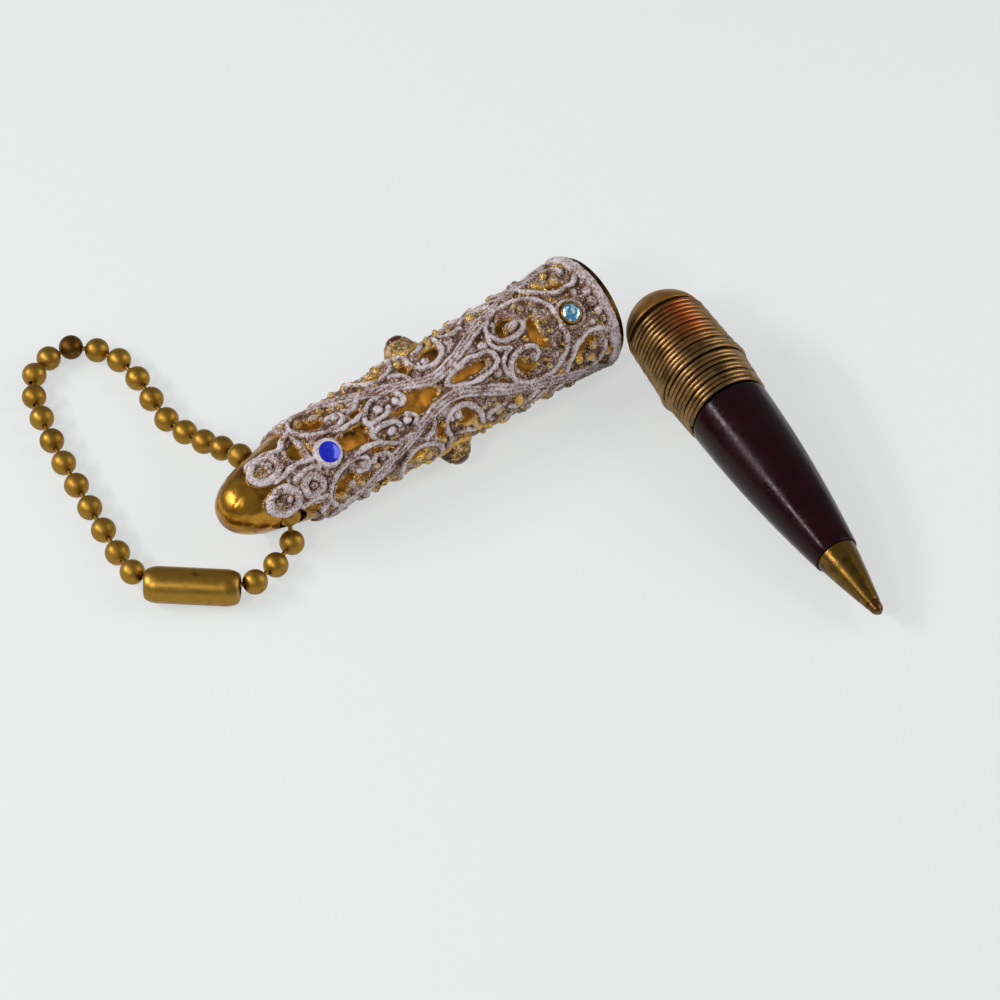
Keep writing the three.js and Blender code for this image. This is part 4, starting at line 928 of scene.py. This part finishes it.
def cabochon(axes, radius, base, dome):
    """A smooth stone: an ellipse of revolution over a short girdle."""
    t = np.linspace(0, np.pi / 2, 16)
    crown = np.stack([radius * np.cos(t), base + 0.3 + dome * np.sin(t)], -1)
    profile = np.vstack([[0, base - 0.3], [radius * 0.8, base - 0.3], [radius, base + 0.1], crown])
    profile[-1, 0] = 0
    return turned(axes, profile, 48)


def brilliant(axes, radius, base):
    """A cut stone: an eight-sided table, a ring of crown facets and a girdle."""
    profile = [[0, base - 0.5], [radius * 0.5, base - 0.4], [radius, base + 0.1], [radius, base + 0.2],
               [radius * 0.84, base + 0.42], [radius * 0.52, base + 0.55], [0, base + 0.55]]
    return turned(axes, profile, 8)


class CAPSULEPEN_OT_stones(bpy.types.Operator):
    """Builds the stones and the collets that hold them"""
    bl_idname = "capsulepen.stones"
    bl_label = "Stones and collets"

    def execute(self, context):
        settings = context.scene.capsule_settings
        # Gilded cups: warm gold, brown in their dents
        gilt = aged_metal("gilt_collet", linear("b4863e"), linear("5e3816"), 0.24, 1.0, 0.1, 0.85, dent=0.5)
        # The filigree's casting and wash: chalky on the blue stones' cups, rubbed on the garnets'
        pale = washed_casting("washed_collet", settings.wash, settings.gilt, settings.patina)
        # Opaque-looking foiled glass: flat saturated blue with a soft gloss, and cells of paler blue painted
        # in as reflections
        blue = foiled_glass("blue_foiled_glass", settings.blue, linear("2040e0"), 0.16, 1.6, 0.4)
        # Cut glass over foil: pale flashes painted into some facets as reflections
        aqua = foiled_glass("aqua_cut_glass", settings.aqua, linear("d8f4fa"), 0.05, 2.6, 0.85)
        # Dark glass: nearly black red with a sharp highlight, and cells of lighter red painted in as
        # reflections
        garnet = foiled_glass("garnet_glass", settings.garnet, linear("6a0d16"), 0.08, 1.6, 0.5)
        # A stone's distance, degrees and radius, its cup's height and foot, and the cup's finish and wash
        kinds = (
            ("blue", 45.0, 0.0, 1.46, 1.0, 0.4, "white_wash", {"relief": 0.9, "wash": 1.0}),
            ("aqua", 6.5, 0.0, 1.3, 1.0, 0.16, "gilt", {}),
            ("garnet", 26.6, 86.0, 1.25, 2.1, 1.1, "gilt", {"relief": 0.35, "wash": 0.52}),
        )
        glasses = {"blue": blue, "aqua": aqua, "garnet": garnet}
        domes = {"blue": 0.3, "garnet": 0.75}
        for name, distance, degrees, radius, rise, foot, finish, cover in kinds:
            lip = min(foot, 0.36)
            wall = [[radius + 0.02, 0.05], [radius + foot, 0.05], [radius + 0.12 + 0.7 * foot, 0.5 * rise],
                    [radius + lip, rise - 0.1], [radius + 0.6 * lip, rise + 0.1],
                    [radius - 0.06, rise + 0.16], [radius - 0.1, rise + 0.08], [radius + 0.02, rise - 0.05]]
            profile = rounded(wall + wall[:1], 0.12)
            for side, turn in (("front", 0), ("back", 180)):
                axes = outward_axes(distance, degrees + turn)
                if name in domes:
                    shape, sharp = cabochon(axes, radius, rise - 0.25, domes[name]), 60
                else:
                    shape, sharp = brilliant(axes, radius, rise - 0.15), 5
                gem = make_piece(f"{name}_stone_{side}_look", *shape, "capsule", f"{name}_glass",
                                 glasses[name], sharp=sharp)
                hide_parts(f"{name}_stone_{side}")
                collet = make_piece(f"{name}_collet_{side}_look", *turned(axes, profile, 48, loop=True),
                                    "capsule", finish, pale if cover else gilt)
                for key, value in cover.items():
                    give(collet, key, np.full(len(collet.data.vertices), value))
                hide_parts(f"{name}_collet_{side}")
        return {"FINISHED"}


# Pen: distances are from the writing tip

CAP_TOP = 58.15
CAP_R = 5.35
CONE_FRONT, CONE_LENGTH = 1.8, 10.3
BARREL_REAR = 36.7
BARREL_SIDES = 160
SPIGOT_R, SPIGOT_END = 4.25, 53.4
# Distances with the coil's outer radius there: it is fattest where it grips the capsule
COIL_STATIONS = [(BARREL_REAR, 5.62), (42.9, 6.0), (43.4, 6.36), (44.6, 6.08), (45.4, 6.0),
                 (SPIGOT_END, 5.62)]


class CAPSULEPEN_OT_barrel(bpy.types.Operator):
    """Builds the plastic barrel, the nose cone and the refill inside it"""
    bl_idname = "capsulepen.barrel"
    bl_label = "Barrel and nose"

    def execute(self, context):
        settings = context.scene.pen_settings
        front = CONE_LENGTH + 0.12
        share = np.linspace(0, 1, 60)
        # The barrel widens from 2.92 mm by 2.53 mm, and its belly is 0.44 mm over the straight line.
        width = 2.92 + 2.53 * share + 0.44 * 4 * share * (1 - share)
        side = np.stack([width, front + share * (BARREL_REAR - front)], -1)
        edge = rounded([[2.62, front], side[0], side[2]], 0.2)
        rear = rounded([side[-2], side[-1], [SPIGOT_R, BARREL_REAR], [SPIGOT_R, SPIGOT_END]], 0.25)
        bore = [[1.6, SPIGOT_END], [1.6, 14.2], [2.5, 14.2], [2.5, front]]
        profile = np.vstack([edge[:-1], side[2:-2], rear, bore])
        # Moulded plastic: very dark maroon, glossy, and dulled in the middle by fingers
        plastic = moulded_plastic("moulded_maroon_plastic", settings.plastic, 0.1)
        barrel = make_piece("barrel", *turned(PEN, profile, BARREL_SIDES, loop=True), "pen", "maroon_plastic",
                            plastic)
        held_at, held_over = 27.0, 4.5
        dulled = np.exp(-((profile[:, 1] - held_at) / held_over) ** 2)
        give(barrel, "dulled", np.repeat(dulled, BARREL_SIDES))
        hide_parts("pen_barrel")

        # Turned brass that has toned: olive gold with dark patches
        brass = aged_metal("toned_brass_nose", settings.brass, linear("3c3014"), 0.2, 1.6, 0.03, 0.85)
        share = np.linspace(0, 1, 24)
        cone = np.stack([1.0 + 1.68 * share + 0.06 * np.sin(np.pi * share),
                         CONE_FRONT + share * (CONE_LENGTH - CONE_FRONT)], -1)
        collar = [[2.25, CONE_LENGTH], [2.25, 13.7], [1.55, 13.7], [1.55, 6.9], [0.75, 6.9]]
        profile = np.vstack([[[0.75, CONE_FRONT], [0.98, CONE_FRONT - 0.05]], cone, collar])
        nose = make_piece("nose_cone", *turned(PEN, profile, 120, loop=True), "nose", "aged_brass", brass,
                          sharp=35)
        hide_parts("pen_nose_cone")

        nub = rounded([[0.0, 0.2], [0.45, 0.2], [0.76, 0.6], [0.88, 1.2], [0.92, 1.72], [0.8, 1.85],
                       [0.45, 1.9], [0.45, 10.0], [0.0, 10.0]], 0.35)
        # The nub's brass has worn to a reddish brown
        copper = aged_metal("toned_brass_tip", linear("6e4a28"), linear("38200f"), 0.2, 0.8, 0.02, 0.7)
        tip = make_piece("refill_tip", *turned(PEN, nub, 64), "refill", "aged_brass", copper)
        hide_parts("pen_refill_tip")

        # A blue-black plastic tube, satin from the die, and a ball of dull grey carbide
        ink = moulded_plastic("extruded_ink_tube", linear("1c2230"), 0.4)
        carbide = aged_metal("ground_carbide", linear("6e6a66"), linear("4e4a48"), 0.22, 0.5, 0.005, 0.3)
        for name, material in (("pen_refill_tube", ink), ("pen_writing_ball", carbide)):
            node = frame["nodes"][name]
            node.data.materials.clear()
            node.data.materials.append(material)
        return {"FINISHED"}


class CAPSULEPEN_OT_cap(bpy.types.Operator):
    """Builds the rounded brass cap on the end of the pen"""
    bl_idname = "capsulepen.cap"
    bl_label = "End cap"

    def execute(self, context):
        base = SPIGOT_END + 0.1
        # The dome is a superellipse, a little more pointed than a circle.
        turn = np.linspace(0, np.pi / 2, 40)[1:-1]
        power = 2 / 1.75
        dome = np.stack([CAP_R * np.cos(turn) ** power, base + (CAP_TOP - base) * np.sin(turn) ** power], -1)
        plug = [[0, base - 3.3], [1.25, base - 3.3], [1.25, base]]
        edge = rounded([plug[-1], [CAP_R - 0.05, base], [CAP_R + 0.03, base + 0.3], dome[0]], 0.1)
        profile = np.vstack([plug, edge[1:], dome, [0, CAP_TOP]])
        # Spun brass, satin and browned by handling
        brass = aged_metal("toned_brass_cap", linear("ac7c3c"), linear("5a3a1a"), 0.42, 2.4, 0.05, 0.7)
        cap = make_piece("end_cap", *turned(PEN, profile, 128), "pen", "aged_brass", brass)
        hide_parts("pen_end_cap")
        return {"FINISHED"}


class CAPSULEPEN_OT_coil(bpy.types.Operator):
    """Winds the friction coil round the barrel's stepped-down end"""
    bl_idname = "capsulepen.coil"
    bl_label = "Friction coil"

    def execute(self, context):
        settings = context.scene.pen_settings
        wire = settings.wire / MM
        turns = settings.coil_turns
        share = np.linspace(0, 1, turns * 56)
        at = BARREL_REAR + 0.15 + wire / 2 + share * (SPIGOT_END - BARREL_REAR - wire - 0.15)
        places, radii = np.array(COIL_STATIONS).T
        angle = 2 * np.pi * turns * share
        # Each turn sits a little out of true, as hand-wound wire does.
        waver = 0.05 * np.sin(angle * 0.37) + 0.04 * np.sin(angle * 0.61 + 1.3)
        radius = np.interp(at, places, radii) - wire / 2 + 0.4 * waver - 0.03
        at = at + waver * 0.8 * np.sin(np.pi * share) ** 0.2
        path = PEN.place(at, radius * np.cos(angle), radius * np.sin(angle))
        # Drawn bronze wire: brown gold, olive between the turns, copper red on one worn patch
        bronze = wound_bronze("drawn_bronze_wire", settings.wire_colour, linear("b8602a"), linear("3e3018"))
        sides = 10
        coil = make_piece("grip_coil", *tube(path, wire / 2, sides), "pen", "bronze_wire", bronze, sharp=80)
        # The worn patch faces up near the cap: its middle and reach along the pen, and in radians round it.
        patch_at, patch_reach, patch_angle, patch_turn = 49.8, 3.8, 1.58, 0.42
        turned_away = (angle - patch_angle + np.pi) % (2 * np.pi) - np.pi
        worn = 0.85 * np.exp(-((at - patch_at) / patch_reach) ** 4 - (turned_away / patch_turn) ** 2)
        give(coil, "copper", np.append(np.repeat(worn, sides), [0, 0]))
        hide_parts("pen_grip_coil")
        return {"FINISHED"}


# Chain: the route is the one that the solids follow, from the capsule's mouth, with the beads of each stretch

CHAIN_KNOTS = [
    ((-63.8, -6.5, 2.33), 1), ((-60.1, -8.1, 2.25), 1), ((-52.1, -5.0, 1.6), 2), ((-51.8, -5.0, 5.3), 1),
    ((-51.5, 2.9, 7.5), 2), ((-51.3, 6.7, 7.3), 1), ((-51.4, 14.5, 3.85), 2), ((-51.5, 22.7, 1.6), 2),
    ((-49.9, 35.5, 1.6), 3), ((-53.4, 41.4, 1.6), 2), ((-60.1, 40.1, 1.6), 2), ((-63.9, 32.9, 1.6), 2),
    ((-70.2, 7.2, 1.6), 6), ((-71.0, 2.8, 2.25), 1), ((-69.5, -1.3, 2.33), 1),
]
# The one bead that has stayed dark, and the one that sits inside the dome, counted from nought
DARK_BEAD = 16
BEAD_IN_DOME = 4


def bead_places():
    """Bead centres, evenly along a centripetal Catmull-Rom curve between each two knots. Each span is a cubic
    whose tangents are weighted by the root of the knots' distances."""
    padded = with_ends(np.array([knot for knot, _ in CHAIN_KNOTS]))
    t = np.linspace(0, 1, 60)[:, None]
    places = []
    for a, b, c, d, (_, beads) in zip(padded, padded[1:], padded[2:], padded[3:], CHAIN_KNOTS[1:]):
        before, here, after = (max(np.linalg.norm(q - p) ** 0.5, 1e-4) for p, q in ((a, b), (b, c), (c, d)))
        leave = ((b - a) / before - (c - a) / (before + here) + (c - b) / here) * here
        arrive = ((c - b) / here - (d - b) / (here + after) + (d - c) / after) * here
        span = (b + leave * t + (-3 * b + 3 * c - 2 * leave - arrive) * t ** 2
                + (2 * b - 2 * c + leave + arrive) * t ** 3)
        if not places:
            places.append(span[0])
        run = np.concatenate([[0], np.cumsum(np.linalg.norm(np.diff(span, axis=0), axis=1))])
        marks = np.linspace(0, run[-1], beads + 1)[1:]
        places += list(np.stack([np.interp(marks, run, span[:, k]) for k in range(3)], -1))
    places = np.array(places) + UNDER_MOUTH
    places[:, 2] = np.maximum(places[:, 2], 1.6)
    return places


def axes_along(place, way):
    """Axes from a place along a way, with any rise that isn't in line with it."""
    return Axes(place, way, (0, 0, 1) if abs(unit(way)[2]) < 0.9 else (0, 1, 0))


class CAPSULEPEN_OT_chain(bpy.types.Operator):
    """Builds the hollow beads and the pins between them"""
    bl_idname = "capsulepen.chain"
    bl_label = "Bead chain"

    def execute(self, context):
        settings = context.scene.chain_settings
        radius = settings.bead_radius / MM
        pin = settings.link_radius / MM
        places = bead_places()
        # The bead in the dome sits further in, so only its pin and its front show in the hole.
        places[BEAD_IN_DOME] += 1.1 * unit(places[BEAD_IN_DOME + 3] - places[BEAD_IN_DOME - 1])
        # A bead is rolled from sheet: a ball with a hole at each end and a hollow inside.
        hole, wall = 0.36, 0.3
        start = np.arcsin(hole / radius)
        t = np.linspace(start, np.pi - start, 26)
        half_circle = np.stack([np.sin(t), -np.cos(t)], -1)
        outer, inner = radius * half_circle, (radius - wall) * half_circle[::-1]
        lips = np.array([[hole, radius - wall - 0.05], [hole, wall + 0.05 - radius]])
        ball = np.vstack([outer, lips[:1], inner[1:-1], lips[1:]])
        shapes, tones = [], []
        rng = np.random.default_rng(11)
        for i, (place, way) in enumerate(zip(places, np.gradient(places, axis=0))):
            shapes.append(turned(axes_along(place, way), ball, 40, loop=True))
            tones.append(0.45 if i == DARK_BEAD else rng.uniform(-0.12, 0.12))
        inset = radius - 0.5
        for here, there in zip(places, places[1:]):
            gap = np.linalg.norm(there - here)
            rod = [[0, inset], [0.6 * pin, inset], [pin, inset + 0.1], [pin, gap - inset - 0.1],
                   [0.6 * pin, gap - inset], [0, gap - inset]]
            shapes.append(turned(axes_along(here, there - here), rod, 16))
            tones.append(0.1)
        # Antiqued brass balls: satin gold with brown patches, each a little different
        brass = bead_brass("antiqued_bead_brass", settings.brass, settings.patina, 0.42)
        chain = make_piece("bead_chain", *joined(shapes), "chain", "chain_brass", brass, sharp=50)
        give(chain, "tone", np.repeat(tones, [len(points) for points, _ in shapes]))
        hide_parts(*[f"chain_bead_{i:02d}" for i in range(1, 30)])
        return {"FINISHED"}


class CAPSULEPEN_OT_coupling(bpy.types.Operator):
    """Builds the rolled coupling that joins the chain's ends, with its slot and its dent"""
    bl_idname = "capsulepen.coupling"
    bl_label = "Chain coupling"

    def execute(self, context):
        settings = context.scene.chain_settings
        half, radius, hole, wall = 6.0, 2.33, 1.3, 0.25
        edge = rounded([[hole, -half], [1.85, -half + 0.1], [2.2, -half + 0.8], [radius, -half + 1.6],
                        [radius, -half + 2]], 0.8, 7)
        straight = np.stack([np.full(30, radius), np.linspace(-half + 2.2, half - 2.2, 30)], -1)
        profile = np.vstack([edge, straight, (edge * [1, -1])[::-1]])
        segments = 120
        # The slot is the gap that the sheet leaves when it is rolled round.
        slot = 0.4 / radius
        turn = slot + np.linspace(0, 2 * np.pi, segments) * (1 - slot / np.pi)
        r, z = profile[:, :1], profile[:, 1:]
        # The slot faces the table and the side away from the capsule, 55 degrees down.
        down = math.radians(-55)
        outside = COUPLING.side * np.sign(COUPLING.side @ np.array([-0.67, -0.74, 0]))
        slot_way = outside * math.cos(down) + np.array([0, 0, math.sin(down)])
        other = np.cross(COUPLING.along, slot_way)
        # A small dimple is on top, a little to the right of the middle as the photo shows it.
        facing = math.atan2(other[2], slot_way[2])
        right = 0.55 * np.sign(COUPLING.along @ np.array([0.78, -0.62, 0]))
        dimple = np.exp(-((z - right) / 0.32) ** 2 - ((turn - facing % (2 * np.pi)) * radius / 0.24) ** 2)

        def skin(shift):
            """The rolled sheet's grid of points, a shift further in."""
            radial = r - shift - 0.22 * dimple
            return (COUPLING.origin + z[..., None] * COUPLING.along
                    + (radial * np.cos(turn))[..., None] * slot_way
                    + (radial * np.sin(turn))[..., None] * other).reshape(-1, 3)

        faces = quads(len(profile), segments, wrap_columns=False)
        points, closed, used = closed_sheet(skin(0.0), skin(wall), faces)
        # The beads' antiqued brass, smoother: rolled sheet, with darker brown painted into the dimple as its
        # shade
        brass = bead_brass("antiqued_coupling_brass", settings.brass, settings.patina, 0.34)
        coupling = make_piece("coupling", points, closed, "coupling", "chain_brass", brass, sharp=50)
        # The tone in the dimple is painted shade.
        give(coupling, "tone", np.tile(0.55 * dimple.ravel() ** 0.5 - 0.05, 2)[used])
        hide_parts("chain_coupling")
        return {"FINISHED"}


# Stage

def put_in_scene(thing, right, up, back, place):
    """Adds a camera or a lamp, with its own three axes and its place as the columns of its matrix."""
    columns = np.eye(4)
    columns[:3] = np.stack([right, up, back, place], -1)
    thing.matrix_world = Matrix(columns.tolist())
    bpy.context.scene.collection.objects.link(thing)


class CAPSULEPEN_OT_stage(bpy.types.Operator):
    """Sets up the camera, the pale table and the soft lamps"""
    bl_idname = "capsulepen.stage"
    bl_label = "Camera, table and lamps"

    def execute(self, context):
        settings = context.scene.stage_settings
        scene = context.scene
        scene.view_settings.view_transform = "Standard"

        eye = (np.array([-281.59, -333.78, 416.34]) + UNDER_MOUTH) * MM
        view = unit([0.4377, 0.5475, -0.7133])
        right = unit(np.cross(view, (0, 0, 1)))
        camera = bpy.data.objects.new("camera", bpy.data.cameras.new("camera"))
        camera.data.lens = settings.lens
        camera.data.sensor_width = 36
        camera.data.clip_start = 0.05
        put_in_scene(camera, right, np.cross(right, view), -view, eye)
        scene.camera = camera

        # The key lamp stands beside the camera; low on the left is a narrow strip in line with the pen, whose
        # reflection is the thin streak along the barrel; low on the right is a wide soft one. Each has its
        # way from the object, its distance and size in metres, and its share of the power.
        rise = np.array([0, 0, 1.0])
        for name, way, distance, size, share in (
            ("lamp_key", -view - 0.5 * right, 0.6, (0.1, 0.1), 0.55),
            ("lamp_left", -right + 0.62 * rise - 0.1 * view, 0.5, (0.04, 0.3), 0.9),
            ("lamp_right", right + 0.62 * rise + 0.1 * view, 0.5, (0.34, 0.34), 0.6),
        ):
            lamp = bpy.data.objects.new(name, bpy.data.lights.new(name, "AREA"))
            lamp.data.shape = "RECTANGLE"
            lamp.data.size, lamp.data.size_y = size
            lamp.data.energy = settings.lamp_power * share
            way = unit(way)
            side = unit(np.cross(PEN.along, way))
            put_in_scene(lamp, side, np.cross(way, side), way, distance * way)

        scene.world = bpy.data.worlds.new("studio")
        scene.world.use_nodes = True
        tree = scene.world.node_tree
        tree.nodes.clear()
        sky = add(tree, "ShaderNodeBackground", {"Color": linear("e6eaec"), "Strength": 0.34})
        add(tree, "ShaderNodeOutputWorld", {"Surface": sky})

        # Matt pale paper: seen by the camera, in metal or in glass, it is mostly its own tone, and the rest
        # takes shadows.
        paper = bpy.data.materials.new("pale_paper")
        paper.use_nodes = True
        tree = paper.node_tree
        tree.nodes.clear()
        ground = add(tree, "ShaderNodeBsdfDiffuse", {"Color": settings.floor})
        tone = add(tree, "ShaderNodeEmission", {"Color": settings.backdrop, "Strength": 1.0})
        seen = add(tree, "ShaderNodeLightPath", {}, "Is Camera Ray")
        rays = seen.node.outputs
        for kind in ("Is Glossy Ray", "Is Transmission Ray"):
            seen = add(tree, MATHS, {0: seen, 1: rays[kind]}, operation="MAXIMUM")
        share = add(tree, MATHS, {0: seen, 1: 0.6}, operation="MULTIPLY")
        mixed = add(tree, "ShaderNodeMixShader", {0: share, 1: ground, 2: tone})
        add(tree, OUTPUT, {"Surface": mixed})
        mesh = bpy.data.meshes.new("table")
        reach = 3.0
        corners = [(-reach, -reach, 0), (reach, -reach, 0), (reach, reach, 0), (-reach, reach, 0)]
        mesh.from_pydata(corners, [], [(0, 1, 2, 3)])
        mesh.materials.append(paper)
        table = bpy.data.objects.new("table", mesh)
        scene.collection.objects.link(table)
        return {"FINISHED"}


class CAPSULEPEN_PT_panel(bpy.types.Panel):
    """Lists the steps that build the object"""
    bl_label = "Capsule Pen"
    bl_idname = "CAPSULEPEN_PT_panel"
    bl_space_type = "VIEW_3D"
    bl_region_type = "UI"
    bl_category = "Capsule Pen"

    def draw(self, context):
        for operator in OPERATORS:
            self.layout.operator(operator.bl_idname)


OPERATORS = (
    CAPSULEPEN_OT_stage,
    CAPSULEPEN_OT_shell,
    CAPSULEPEN_OT_filigree,
    CAPSULEPEN_OT_stones,
    CAPSULEPEN_OT_barrel,
    CAPSULEPEN_OT_cap,
    CAPSULEPEN_OT_coil,
    CAPSULEPEN_OT_chain,
    CAPSULEPEN_OT_coupling,
)
SETTINGS = {
    "capsule_settings": CapsuleSettings,
    "pen_settings": PenSettings,
    "chain_settings": ChainSettings,
    "stage_settings": StageSettings,
}


def register():
    for kind in (*SETTINGS.values(), *OPERATORS, CAPSULEPEN_PT_panel):
        bpy.utils.register_class(kind)
    for name, kind in SETTINGS.items():
        setattr(bpy.types.Scene, name, PointerProperty(type=kind))


def unregister():
    for name in SETTINGS:
        delattr(bpy.types.Scene, name)
    for kind in (CAPSULEPEN_PT_panel, *reversed(OPERATORS), *SETTINGS.values()):
        bpy.utils.unregister_class(kind)


def main():
    register()
    for operator in OPERATORS:
        group, name = operator.bl_idname.split(".")
        getattr(getattr(bpy.ops, group), name)()


if __name__ == "__main__":
    main()
